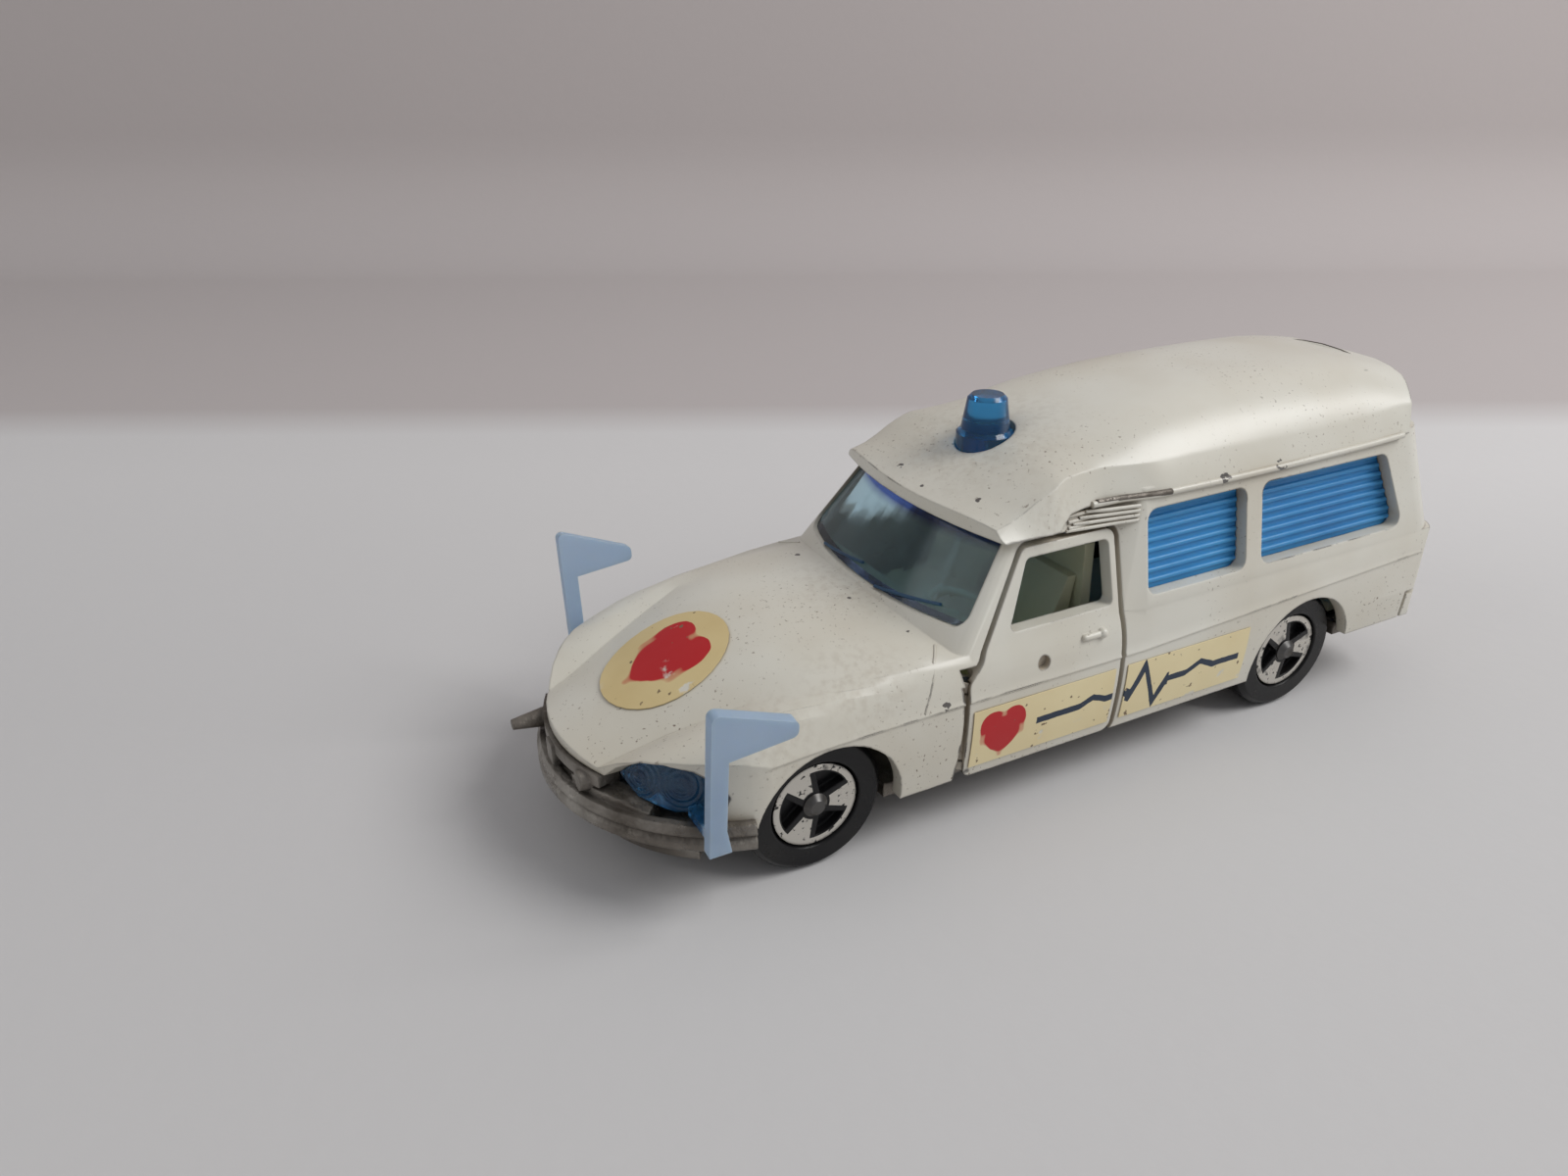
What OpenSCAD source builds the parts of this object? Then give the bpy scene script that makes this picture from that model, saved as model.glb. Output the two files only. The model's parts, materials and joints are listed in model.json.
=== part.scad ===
// Die-cast toy ambulance with opening doors, lifting tailgate and sprung axles.
// Millimetres, front towards -Y, left side towards +X, wheels standing on z = 0.

/* [Overall] */
// Front axle to rear axle
wheelbase = 46.8; // [43:0.2:50]
// Rear axle to the tail
rear_overhang = 16; // [14.5:0.1:18]
// Width over the sides of the body
body_w = 25.9; // [24.6:0.1:28]
// Height of the roof crown
roof_z = 29; // [27.5:0.1:31]

/* [Casting] */
// Wall of the body casting
wall = 1.1; // [0.9:0.05:1.3]
// Lower edge of the sills
sill_z = 4.4; // [4:0.1:4.8]
// Lower edge of the body ahead of and behind the wheels
skirt_z = 6.1; // [5.8:0.1:6.4]
// Height of the side crease at the door
crease_z = 11.35; // [11:0.05:11.7]
// Rise of the side crease towards the tail
crease_rise = 1.6; // [0.8:0.1:2]
// Height of the waist where the cabin starts
belt_z = 14.5; // [14.2:0.1:14.8]
// Height of the hood at the windscreen
hood_z = 15.65; // [15.3:0.05:16]
// Front axle to the edge of the nose
nose_reach = 14.9; // [14.5:0.1:15.3]
// Radius of the nose in plan
nose_r = 13.3; // [13.2:0.1:14.2]
// Radius of the wheel arches
arch_r = 5.8; // [5.7:0.05:6]

/* [Cabin] */
// Inset of the waist from the side at the doors
belt_inset = 0.85; // [0.6:0.05:1]
// Inset of the waist from the side behind the doors
rear_belt_inset = 0.35; // [0.2:0.05:0.5]
// Inward lean of the door side, for each unit of height
door_lean_share = 0.273; // [0.24:0.01:0.3]
// Inward lean of the rear side, for each unit of height
rear_lean_share = 0.2; // [0.16:0.01:0.22]
// Backward lean of the windscreen, for each unit of height
screen_lean_share = 0.746; // [0.7:0.01:0.8]
// Front axle to the foot of the windscreen
screen_y = 9.7; // [9.4:0.1:10]
// Forward bow of the windscreen in plan
screen_bow = 2.4; // [1.8:0.1:2.8]
// Height of the roof gutter behind the doors
gutter_z = 23; // [22.8:0.1:23.3]

/* [Doors] */
// Front axle to the front edge of the doors
door_y = 11.75; // [11.5:0.05:12]
// Length of the doors
door_len = 14.05; // [13:0.05:14.5]
// Top edge of the doors
door_top_z = 20.9; // [20.6:0.05:21.1]
// Thickness of the doors and tailgate
door_t = 1.1; // [0.9:0.05:1.2]
// Gap round the doors and tailgate
door_gap = 0.45; // [0.4:0.05:0.5]

/* [Tailgate] */
// Width of the tailgate
tailgate_w = 14.6; // [13:0.1:15]
// Lower edge of the tailgate
tailgate_z = 10; // [9.6:0.1:10.6]
// Top edge of the tailgate
tailgate_top_z = 25; // [24.8:0.1:25.2]
// Forward lean of the tail, for each unit of height
tail_lean_share = 0.25; // [0.2:0.01:0.27]

/* [Windows] */
// Lower edge of the side windows
window_z = 15.4; // [15.2:0.1:15.8]
// Height of the side windows
window_h = 6.6; // [5.8:0.1:6.8]
// Share of the side glazing in the middle window
middle_window_share = 0.375; // [0.3:0.005:0.45]
// Tail to the rear side window at the waist
window_tail = 5.3; // [5:0.1:7]
// Post between the side windows
window_post = 1.7; // [1.4:0.1:2.2]
// Thickness of the glazing
glass_t = 0.8; // [0.6:0.05:1]
// Clearance round fitted mouldings
fit_gap = 0.08; // [0.05:0.01:0.12]

/* [Running gear] */
// Radius of the wheels
wheel_r = 5.38; // [5.2:0.02:5.5]
// Width of the wheels
wheel_w = 3.3; // [2.8:0.1:3.5]
// Distance over the outer faces of the wheels
track_w = 23.3; // [22.8:0.1:23.4]
// Radius of the axles
axle_r = 0.6; // [0.5:0.02:0.66]
// Running clearance of the wheels and hinges
run_gap = 0.05; // [0.03:0.01:0.08]
// Upward travel of the axles
bounce = 0.5; // [0.3:0.05:0.6]

/* [Hinges] */
// Radius of the hinge pins
pin_r = 0.35; // [0.3:0.01:0.4]
// Depth of the hinge axes behind the outer skin
hinge_inset = 1.1; // [1:0.05:1.25]
// Setback of the hinge axes from the edge of the panel
hinge_setback = 0.3; // [0.25:0.05:0.35]

/* [Fittings] */
// Height of the beacon above the roof
beacon_h = 3.3; // [3:0.1:3.6]
// Radius of the beacon at its foot
beacon_r = 2.25; // [2.1:0.05:2.6]
// Height of the flag tops
flag_z = 18; // [16.5:0.1:19]
// Length of the pennants
flag_len = 6; // [5:0.1:7]
// Diameter of the round label on the hood
label_d = 9.6; // [8:0.1:10]

/* [Hidden] */
round_fn = 48;
fine_fn = 32;
corner_fn = 16;
over = 1;
override_out = 2;
front_overhang = nose_reach + override_out;
half_w = body_w / 2;
tail_y = wheelbase + rear_overhang;
middle_y = (tail_y - front_overhang) / 2;
belt_x = half_w - belt_inset;
rear_belt_x = half_w - rear_belt_inset;
door_end_y = door_y + door_len;
seam = 0.02;
post_y = door_end_y + door_gap - seam;
post_len = 1.9;
rear_side_y = post_y + post_len;
paint = [0.88, 0.87, 0.82];
blue = [0.12, 0.42, 0.75, 0.6];
milky_blue = [0.58, 0.72, 0.88];
zinc = [0.5, 0.46, 0.4];
steel = [0.75, 0.75, 0.76];
black = [0.05, 0.05, 0.05];
pale_green = [0.45, 0.6, 0.55];
label_cream = [0.92, 0.83, 0.58];

// Curve helpers
function mix(a, b, t) = a + (b - a) * t;
function bezier(a, b, c, t) = mix(mix(a, b, t), mix(b, c, t), t);
function spline(a, b, c, d, t) =
    b + t * (c - a) / 2 + t * t * (a - 2.5 * b + 2 * c - d / 2) + t * t * t * (d - a + 3 * (b - c)) / 2;
function row(table, i) = table[max(0, min(len(table) - 1, i))];
function row_at(table, u) =
    let (i = min(floor(u), len(table) - 2))
    spline(row(table, i - 1), row(table, i), row(table, i + 1), row(table, i + 2), u - i);
function rows(table, steps) = [for (k = [0:steps * (len(table) - 1)]) row_at(table, k / steps)];

// Inward offset of a line of [x, z] points that runs downwards; a crown starts on the middle plane
function along(p, i, crown) = p[min(i + 1, len(p) - 1)] - (i > 0 ? p[i - 1] : crown ? [-p[1][0], p[1][1]] : p[0]);
function inset(p, g, crown = true) = [for (i = [0:len(p) - 1])
    let (t = along(p, i, crown))
    p[i] + g * [t[1], -t[0]] / norm(t)];
function reversed(p) = [for (i = [len(p) - 1:-1:0]) p[i]];
function band(p, g_out, g_in) = concat(inset(p, g_out, false), reversed(inset(p, g_in, false)));

// Closed skin over rings of points, and a loft along Y through half sections from crown to sill
module skin(rings) {
    n = len(rings[0]);
    m = len(rings);
    sides = [for (i = [0:m - 2], j = [0:n - 1])
        let (a = i * n + j)
        let (b = i * n + (j + 1) % n)
        each [[a, b + n, b], [a, a + n, b + n]]];
    caps = [[for (j = [0:n - 1]) j], [for (j = [n - 1:-1:0]) (m - 1) * n + j]];
    polyhedron([for (r = rings) each r], concat(sides, caps));
}
function ring(half, y) = concat([for (p = half) [p[0], y, p[1]]],
    [for (i = [len(half) - 1:-1:1]) [-half[i][0], y, half[i][1]]]);
module loft(halves, ys) {
    skin([for (i = [0:len(ys) - 1]) ring(halves[i], ys[i])]);
}
module side_prism(x_low, x_high) {
    translate([x_low, 0, 0]) rotate([90, 0, 90]) linear_extrude(x_high - x_low) children();
}
module front_prism(y_low, y_high) {
    translate([0, y_high, 0]) rotate([90, 0, 0]) linear_extrude(y_high - y_low) children();
}
module both_sides() {
    children();
    mirror([1, 0, 0]) children();
}
module x_bar(r, w, y, z) {
    translate([-w / 2, y, z]) rotate([0, 90, 0]) cylinder(r = r, h = w, $fn = fine_fn);
}

// Lower body: hood, fenders and sides
// Each row: place along the hood, crown height, valley x and z, fender x and z, crease x and z
hood_shares = [
    [-0.05, 0.585, 0.430, 0.580, 0.700, 0.760, 0.957, 0.750],
    [0.11, 0.687, 0.488, 0.686, 0.735, 0.850, 0.973, 0.800],
    [0.23, 0.767, 0.564, 0.777, 0.770, 0.920, 0.988, 0.885],
    [0.35, 0.860, 0.650, 0.854, 0.880, 0.960, 1.000, 0.956],
    [0.48, 0.940, 0.740, 0.928, 0.930, 0.986, 1.000, 0.982],
    [0.61, 0.982, 0.860, 0.971, 0.965, 0.972, 1.000, 0.995],
    [0.80, 0.997, 0.965, 0.990, 0.986, 0.938, 1.000, 1.000],
    [1.03, 1.000, 1.000, 1.000, 0.990, 0.910, 1.000, 1.000]];
hood_run = nose_reach + door_y - door_gap;
hood_steps = 2;
crown_steps = 6;
fender_steps = 5;
side_steps = 8;
inner_side_steps = 4;
crown_share = 2.2;
belly_out = 0.15;
ridge_out = 0.12;
ridge_h = 0.45;
ridge_share = 0.55;
belly_z = 8;
sill_inset = 0.35;
rear_fender_share = 0.45;
rear_fender_out = 0.06;
tail_corner_r = 3.2;

function crown_curve(vx, vz, top) =
    [for (i = [0:crown_steps]) [vx * i / crown_steps, top - (top - vz) * pow(i / crown_steps, crown_share)]];
function side_curve(crease, steps = side_steps) = [for (i = [0:steps])
    bezier(crease, [half_w + belly_out, belly_z], [half_w - sill_inset, sill_z], i / steps)];
function ridge_curve(crease) = let (line = side_curve(crease - [0, ridge_h]))
    concat([crease, crease + [ridge_out, -ridge_h * ridge_share]], line);
function lower_section(valley, top, fender, crease, fine) = concat(crown_curve(valley[0], valley[1], top),
    fine ? [for (i = [1:fender_steps - 1]) bezier(valley, fender, crease, i / fender_steps)] : [],
    fine ? ridge_curve(crease) : side_curve(crease, inner_side_steps));
function hood_section(s, fine = true) = lower_section([s[2] * belt_x, s[3] * belt_z], s[1] * hood_z,
    [s[4] * half_w, s[5] * belt_z], [s[6] * half_w, s[7] * crease_z], fine);
function crease_at(y) = [half_w, crease_z + crease_rise * max(0, y - rear_side_y) / (tail_y - rear_side_y)];
function rear_section(y, fine = true) = lower_section([rear_belt_x - 3 * seam, belt_z - seam], belt_z - seam,
    mix([rear_belt_x, belt_z], crease_at(y), rear_fender_share) + [rear_fender_out, 0], crease_at(y), fine);
last_hood_row = row(hood_shares, len(hood_shares) - 1);
door_section = hood_section(last_hood_row);
rear_middle_share = 0.45;
rear_ys = [rear_side_y, mix(rear_side_y, tail_y, rear_middle_share), tail_y + over];

module lower_plan(g) {
    offset(delta = -g) {
        translate([0, nose_r - nose_reach]) circle(nose_r, $fn = 2 * fine_fn);
        hull() {
            for (s = [-1, 1])
                translate([s * (half_w + belly_out - tail_corner_r), tail_y - tail_corner_r])
                    circle(tail_corner_r, $fn = fine_fn);
            translate([-half_w - belly_out, 0]) square([body_w + 2 * belly_out, over]);
        }
    }
}
function dropped(half, g) = g == 0 ? half : concat(inset(half, g), [[half_w - sill_inset - g, sill_z - over]]);
module lower_solid(g) {
    stations = g == 0 ? hood_rows : hood_shares;
    fine = g == 0;
    halves = concat([for (s = concat(stations, [last_hood_row])) hood_section(s, fine)],
        [for (y = rear_ys) rear_section(y, fine)]);
    ys = concat([for (s = stations) s[0] * hood_run - nose_reach], [post_y], rear_ys);
    intersection() {
        loft([for (h = halves) dropped(h, g)], ys);
        translate([0, 0, sill_z - 2 * over]) linear_extrude(hood_z) lower_plan(g);
    }
}

// Cabin: a leaning front part with the doors and a wider rear part
cabin_z = 12.6;
front_top_drop = 0.7;
rear_top_rise = 0.6;
front_top_z = gutter_z - front_top_drop;
rear_top_z = gutter_z + rear_top_rise;
slab = 0.01;
screen_steps = 6;
corner_r = 1.2;
function door_x(z) = belt_x - door_lean_share * (z - belt_z);
function rear_x(z) = rear_belt_x - rear_lean_share * (z - belt_z);
function screen_at(z) = screen_y + screen_lean_share * (z - hood_z);
function tail_at(z) = tail_y - tail_lean_share * max(0, z - belt_z);
module front_outline(z, g) {
    x = door_x(z);
    offset(delta = -g) offset(r = corner_r, $fn = corner_fn) offset(delta = -corner_r)
        polygon(concat([for (i = [-screen_steps:screen_steps])
            [x * i / screen_steps, screen_at(z) + screen_bow * pow(abs(i / screen_steps), crown_share)]],
            [[x, rear_side_y + over], [-x, rear_side_y + over]]));
}
module rear_outline(z, g) {
    offset(delta = -g) hull() for (s = [-1, 1]) {
        translate([s * (rear_x(z) - tail_corner_r), tail_at(z) - tail_corner_r])
            circle(tail_corner_r, $fn = fine_fn);
        polygon([[0, post_y], [s * door_x(z), post_y], [s * rear_x(z), rear_side_y], [0, rear_side_y]]);
    }
}
module front_cabin(g) {
    hull() for (z = [cabin_z, front_top_z])
        translate([0, 0, z]) linear_extrude(slab) front_outline(z, g);
}
module rear_cabin(g) {
    hull() for (z = [belt_z, rear_top_z])
        translate([0, 0, z]) linear_extrude(slab) rear_outline(z, g + seam);
    translate([0, 0, cabin_z]) linear_extrude(belt_z - cabin_z + slab / 2) rear_outline(belt_z, g + seam);
}

// Raised roof: crowned, with a visor lip over the windscreen and a fairing above each door
// Each row: place along the roof, gutter overhang, gutter drop, shoulder height, crown height
roof_shares = [
    [-0.03, 1.0, 1.0, 0.755, 0.766],
    [0.055, 1.0, 1.0, 0.790, 0.815],
    [0.100, 1.0, 1.0, 0.828, 0.848],
    [0.138, 1.0, 1.0, 0.855, 0.874],
    [0.164, 0.6, 0.2, 0.868, 0.892],
    [0.240, 0.2, 0.0, 0.874, 0.931],
    [0.350, 0.0, 0.0, 0.872, 0.969],
    [0.480, 0.0, 0.0, 0.866, 0.993],
    [0.670, 0.0, 0.0, 0.862, 1.000],
    [0.840, 0.0, -0.1, 0.866, 0.996],
    [0.930, 0.0, -0.3, 0.880, 0.982],
    [1.050, 0.0, -0.4, 0.886, 0.950]];
roof_front_y = 13.9;
roof_end_in = 2.5;
roof_end_y = tail_y - roof_end_in;
roof_run = roof_end_y - roof_front_y;
gutter_out = 0.25;
fairing_out = 0.75;
fairing_drop = 1.25;
roof_side_steps = 7;
roof_round_share = 4;
roof_steps = 2;
shoulder_in = 0.95;
roof_corner_r = 2;
roof_bow = 1.9;
roof_tail_bow = 4;
roof_flat_share = 0.4;
roof_tail_shares = [1, 0.85, 0.65, 0.4, -0.4, -0.65, -0.85, -1];

function side_at(y, z) = mix(door_x(z), rear_x(z), max(0, min(1, (y - post_y) / post_len)));
function roof_half(s, g) =
    let (low = gutter_z - fairing_drop * s[2])
    let (out = mix(gutter_out, fairing_out, s[1]))
    let (edge = side_at(roof_front_y + s[0] * roof_run, low) + (g == 0 ? out : -g))
    let (shoulder = [edge - shoulder_in, s[3] * roof_z - g])
    let (top = s[4] * roof_z - g)
    concat([for (i = [0:roof_side_steps])
        let (t = sin(90 * i / roof_side_steps))
        [shoulder[0] * t, top - (top - shoulder[1]) * pow(t, roof_round_share)]],
        [[edge, g == 0 ? low : low - over]]);
module roof_plan(g) {
    x = rear_x(gutter_z) + gutter_out + over;
    offset(delta = -g) offset(r = roof_corner_r, $fn = corner_fn) offset(delta = -roof_corner_r)
        polygon(concat([for (i = [-screen_steps:screen_steps])
            [x * i / screen_steps, roof_front_y + roof_bow * pow(i / screen_steps, 2)]],
            [for (s = roof_tail_shares)
                let (bend = (abs(s) - roof_flat_share) / (1 - roof_flat_share))
                [x * s, roof_end_y - roof_tail_bow * bend * bend]]));
}
module roof_solid(g) {
    stations = g == 0 ? rows(roof_shares, roof_steps) : roof_shares;
    intersection() {
        loft([for (s = stations) roof_half(s, g)], [for (s = stations) roof_front_y + s[0] * roof_run]);
        translate([0, 0, belt_z]) linear_extrude(roof_z) roof_plan(g);
    }
}
module outer_solid(g = 0) {
    lower_solid(g);
    front_cabin(g);
    rear_cabin(g);
    roof_solid(g);
}

// Outlines of the openings
door_corner_r = 0.8;
door_step_z = 13.7;
door_step_y = 1.3;
pillar_y = 5.6;
module door_outline(g) {
    offset(delta = g) offset(r = door_corner_r, $fn = fine_fn) offset(delta = -door_corner_r)
        polygon([[door_y, sill_z], [door_end_y, sill_z], [door_end_y, door_top_z], [door_y + pillar_y, door_top_z],
            [door_y + door_step_y, door_step_z], [door_y, door_step_z - door_step_y]]);
}
door_window_z = 15.2;
door_window_end = 0.55;
door_window_top = 0.75;
door_window_foot = 3.8;
door_window_head = 5.9;
door_window_r = 0.5;
module door_window_outline() {
    top = door_top_z - door_window_top;
    end = door_end_y - door_window_end;
    offset(r = door_window_r, $fn = fine_fn) offset(delta = -door_window_r)
        polygon([[door_y + door_window_foot, door_window_z], [end, door_window_z], [end, top],
            [door_y + door_window_head, top]]);
}
window_r = 0.9;
window_slant = 2.6;
window_start = 0.15;
middle_window_y = rear_side_y + window_start;
rear_window_end = tail_y - window_tail;
middle_window = middle_window_share * (rear_window_end - middle_window_y - window_post);
rear_window_y = middle_window_y + middle_window + window_post;
window_top_z = window_z + window_h;
module window_outlines() {
    offset(r = window_r, $fn = corner_fn) offset(delta = -window_r) {
        translate([middle_window_y, window_z]) square([middle_window, window_h]);
        polygon([[rear_window_y, window_z], [rear_window_end, window_z],
            [rear_window_end - window_slant, window_top_z], [rear_window_y, window_top_z]]);
    }
}
screen_foot_gap = 0.25;
screen_side_in = 0.65;
screen_top_z = 21.75;
screen_r = 0.8;
module screen_outline(g = 0) {
    foot = hood_z + screen_foot_gap;
    low = door_x(foot) - screen_side_in;
    high = door_x(screen_top_z) - screen_side_in;
    offset(r = screen_r + g, $fn = corner_fn) offset(delta = -screen_r)
        polygon([[-low, foot], [low, foot], [high, screen_top_z], [-high, screen_top_z]]);
}
// Nose opening for a lamp and the bumper, as seen from the front
lip_z = 9;
lamp_in = 6.2;
lamp_w = 6;
lamp_h = 2.2;
lamp_shares = [[0, 0], [0.16, 0.48], [0.42, 0.93], [0.62, 1], [0.82, 0.86], [0.95, 0.42], [1, -0.1], [0.96, -0.62],
    [0.6, -0.9], [0.25, -0.62]];
grille_w_share = 0.9;
nose_cut_share = 0.4;
module lamp_outline(g = 0) {
    offset(delta = g) polygon([for (s = lamp_shares) [lamp_in + s[0] * lamp_w, lip_z + s[1] * lamp_h]]);
}
module nose_outline() {
    lamp_outline();
    translate([0, skirt_z - over]) square([lamp_in + lamp_w * grille_w_share, lip_z - skirt_z + over]);
}
module tailgate_outline(g) {
    offset(r = door_corner_r + g, $fn = fine_fn) offset(delta = -door_corner_r)
        translate([-tailgate_w / 2, tailgate_z]) square([tailgate_w, tailgate_top_z - tailgate_z]);
}

// Heights of the base floor
floor_z = 3.6;
rear_floor_z = 5.4;
floor_t = 1.2;
floor_top_z = floor_z + floor_t;

// Places of the hinges
lug_r = 0.65;
lug_h = 0.8;
lug_gap = 0.15;
door_hinge = [half_w - hinge_inset, door_y + hinge_setback];
door_lug_zs = [floor_top_z + lug_gap, door_step_z - door_step_y - lug_h];
lug_back = 2.65;
lug_in = 2.1;
tail_arm = [3.3, 2.64];
swing_gap = 0.22;
swing_r = norm([hinge_inset, hinge_setback]) + swing_gap;
swing_top_share = 0.88;
swing_top_r = swing_r * swing_top_share;
tailgate_hinge_z = tailgate_top_z - hinge_setback;
tailgate_hinge = [tail_at(tailgate_hinge_z) - hinge_inset, tailgate_hinge_z];
tailgate_pin_w = tailgate_w - 2 * door_gap;
tailgate_lug_x = tailgate_pin_w / 2 - lug_h / 2;

// Body casting
rib_count = 4;
rib_r = 0.17;
rib_len = 6.6;
rib_sink = 0.02;
cowl_r = 0.5;
cowl_places = [[1.5, 2.1, 0.5], [0.55, 0.75, 1.3], [1.2, 0.75, 1.5]];
lip_r = 0.42;
lip_w = 9.2;
lip_top_z = 27.85;
rivet_r = 1.1;
rivet_len = 3;
rivet_back = 7.3;
rivet_tail = 4.5;
rivet_ys = [rivet_back - nose_reach, tail_y - rivet_tail];
rivet_zs = [floor_z, rear_floor_z];
rivet_post_r = 2.1;
post_top_zs = [11.2, 9.2];
shelf_x = 3.2;
shelf_z = 8.6;
shelf_t = 0.9;
beacon_y = 21.3;
bumper_top_z = 8.4;
bumper_len = 2.9;
groove_w = 0.35;
groove_t = 0.4;
arch_front_shift = 0.6;
arch_rear_shift = 0.1;
arch_front_z = 4.9;
arch_rear_z = 5.2;
arch_front = [arch_front_shift, arch_front_z];
arch_rear = [wheelbase + arch_rear_shift, arch_rear_z];
arch_depth = 5.2;
well_gap = 0.3;

module door_ribs() {
    for (i = [0:rib_count - 1]) {
        z = mix(door_top_z + door_gap + rib_r, gutter_z - rib_r, i / (rib_count - 1));
        translate([door_x(z) - rib_sink, rear_side_y - rib_len, z]) rotate([-90, 0, 0])
            cylinder(r = rib_r, h = rib_len, $fn = corner_fn);
    }
}
module cowl_block() {
    hull() for (p = cowl_places)
        translate([belt_x - p[0], door_y - door_gap - p[1], hood_z - p[2]]) sphere(cowl_r, $fn = corner_fn);
}
module door_lugs() {
    for (z = door_lug_zs) difference() {
        for (path = [[[0, 0], [-lug_in, -lug_back]], [[-lug_in, -lug_back], [0, -lug_back]]])
            hull() for (p = path)
                translate([door_hinge[0] + p[0], door_hinge[1] + p[1], z])
                    cylinder(r = lug_r, h = lug_h, $fn = corner_fn);
        translate([door_hinge[0], door_hinge[1], z - over])
            cylinder(r = pin_r + fit_gap, h = lug_h + 2 * over, $fn = fine_fn);
    }
}
module tailgate_lugs() {
    for (s = [-1, 1]) translate([s * tailgate_lug_x, 0, 0]) difference() {
        hull() {
            x_bar(lug_r, lug_h, tailgate_hinge[0], tailgate_hinge[1]);
            x_bar(lug_r, lug_h, tailgate_hinge[0] - tail_arm[0], tailgate_hinge[1] + tail_arm[1]);
        }
        x_bar(pin_r + fit_gap, lug_h + over, tailgate_hinge[0], tailgate_hinge[1]);
    }
}
module bumper_groove() {
    difference() {
        translate([-body_w, tail_y - bumper_len - groove_w, 0])
            cube([2 * body_w, bumper_len + groove_w + over, bumper_top_z + groove_w]);
        linear_extrude(belt_z) lower_plan(groove_t);
        translate([-body_w, tail_y - bumper_len, 0]) cube([2 * body_w, bumper_len + 2 * over, bumper_top_z]);
    }
}
module body_shell() color(paint) {
    difference() {
        union() {
            difference() {
                union() {
                    outer_solid();
                    both_sides() cowl_block();
                }
                outer_solid(wall);
            }
            both_sides() door_ribs();
        }
        both_sides() {
            side_prism(door_x(roof_z), half_w + over) door_outline(door_gap);
            side_prism(door_x(roof_z), half_w + over) window_outlines();
            translate([door_hinge[0], door_hinge[1], sill_z - over]) {
                cylinder(r = swing_r, h = door_step_z - door_step_y - sill_z + over, $fn = fine_fn);
                cylinder(r = swing_top_r, h = door_step_z - sill_z + over, $fn = fine_fn);
            }
            for (a = [arch_front, arch_rear])
                translate([half_w - arch_depth, a[0], a[1]]) rotate([0, 90, 0])
                    cylinder(r = arch_r, h = arch_depth + over, $fn = round_fn);
            for (y = axle_ys)
                translate([half_w - arch_depth, y, wheel_r]) rotate([0, 90, 0])
                    cylinder(r = wheel_r + bounce + well_gap, h = arch_depth - wall, $fn = round_fn);
            front_prism(-front_overhang, -nose_cut_share * nose_reach) nose_outline();
        }
        front_prism(0, screen_at(screen_top_z) + screen_bow) screen_outline();
        front_prism(tailgate_hinge[0] - over, tail_y + over) tailgate_outline(door_gap);
        x_bar(swing_r + lug_gap, tailgate_w + 2 * door_gap, tailgate_hinge[0], tailgate_hinge[1]);
        translate([-body_w, -front_overhang, 0]) cube([2 * body_w, front_overhang, skirt_z]);
        translate([-body_w, arch_rear[0], 0]) cube([2 * body_w, rear_overhang + over, skirt_z]);
        bumper_groove();
        translate([0, beacon_y, belt_z]) cylinder(r = beacon_r + fit_gap, h = roof_z, $fn = fine_fn);
    }
    both_sides() door_lugs();
    tailgate_lugs();
    x_bar(lip_r, lip_w, roof_end_y - lip_r / 2, lip_top_z - lip_r);
    for (i = [0, 1]) difference() {
        translate([0, rivet_ys[i], rivet_zs[i] + floor_t])
            cylinder(r = rivet_post_r, h = post_top_zs[i] - rivet_zs[i] - floor_t, $fn = fine_fn);
        translate([0, rivet_ys[i], 0])
            cylinder(r = rivet_r + fit_gap, h = rivet_zs[i] + rivet_len + fit_gap, $fn = fine_fn);
    }
    translate([-shelf_x, rivet_ys[1] - rivet_post_r, shelf_z])
        cube([2 * shelf_x, tail_y - wall / 2 - rivet_ys[1] + rivet_post_r, shelf_t]);
}

// Base casting with the bumpers, the axle saddles and the spring posts
base_gap = 1;
rear_base_gap = 0.5;
wheel_room = 0.6;
axle_z = wheel_r;
saddle_x = 4.2;
saddle_w = 2.4;
saddle_len = 3.6;
interior_z = 7;
spring_w = 3;
spring_t = 0.25;
spring_len = 5;
spring_post_len = 1.6;
blade_out = 1;
blade_t = 1.6;
blade_z = 5;
blade_top_z = 7;
blade_groove = 0.3;
blade_share = 0.55;
blade_angle = 148;
blade_step_z = skirt_z - fit_gap;
band_out = 0.3;
band_z = 8;
band_top_z = lip_z - fit_gap;
band_angle = 53;
band_lap = 0.4;
slot_depth = 0.8;
nose_t = 1.7;
valance_z = 2.3;
valance_angle = 112;
valance_in = 1;
valance_taper = 0.7;
block_angle = 30;
block_turn = 28;
block_in = 0.2;
block_top_z = 7.65;
override_x = 4.5;
override_z = 7.95;
override_r = 0.9;
override_tip_r = 0.4;
override_len = 3.4;
stub_len = 1.3;
middle_post_w = 1.3;
rail_x = 3.2;
rail_w = 0.8;
rail_h = 0.35;
inner_track = track_w / 2 - wheel_w - wheel_room;
axle_ys = [0, wheelbase];
rear_floor_y = wheelbase + wheel_r;
riser_back = 0.9;
seat_post_x = 5.5;
seat_post_y = 14;
seat_post_w = 2;

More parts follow.
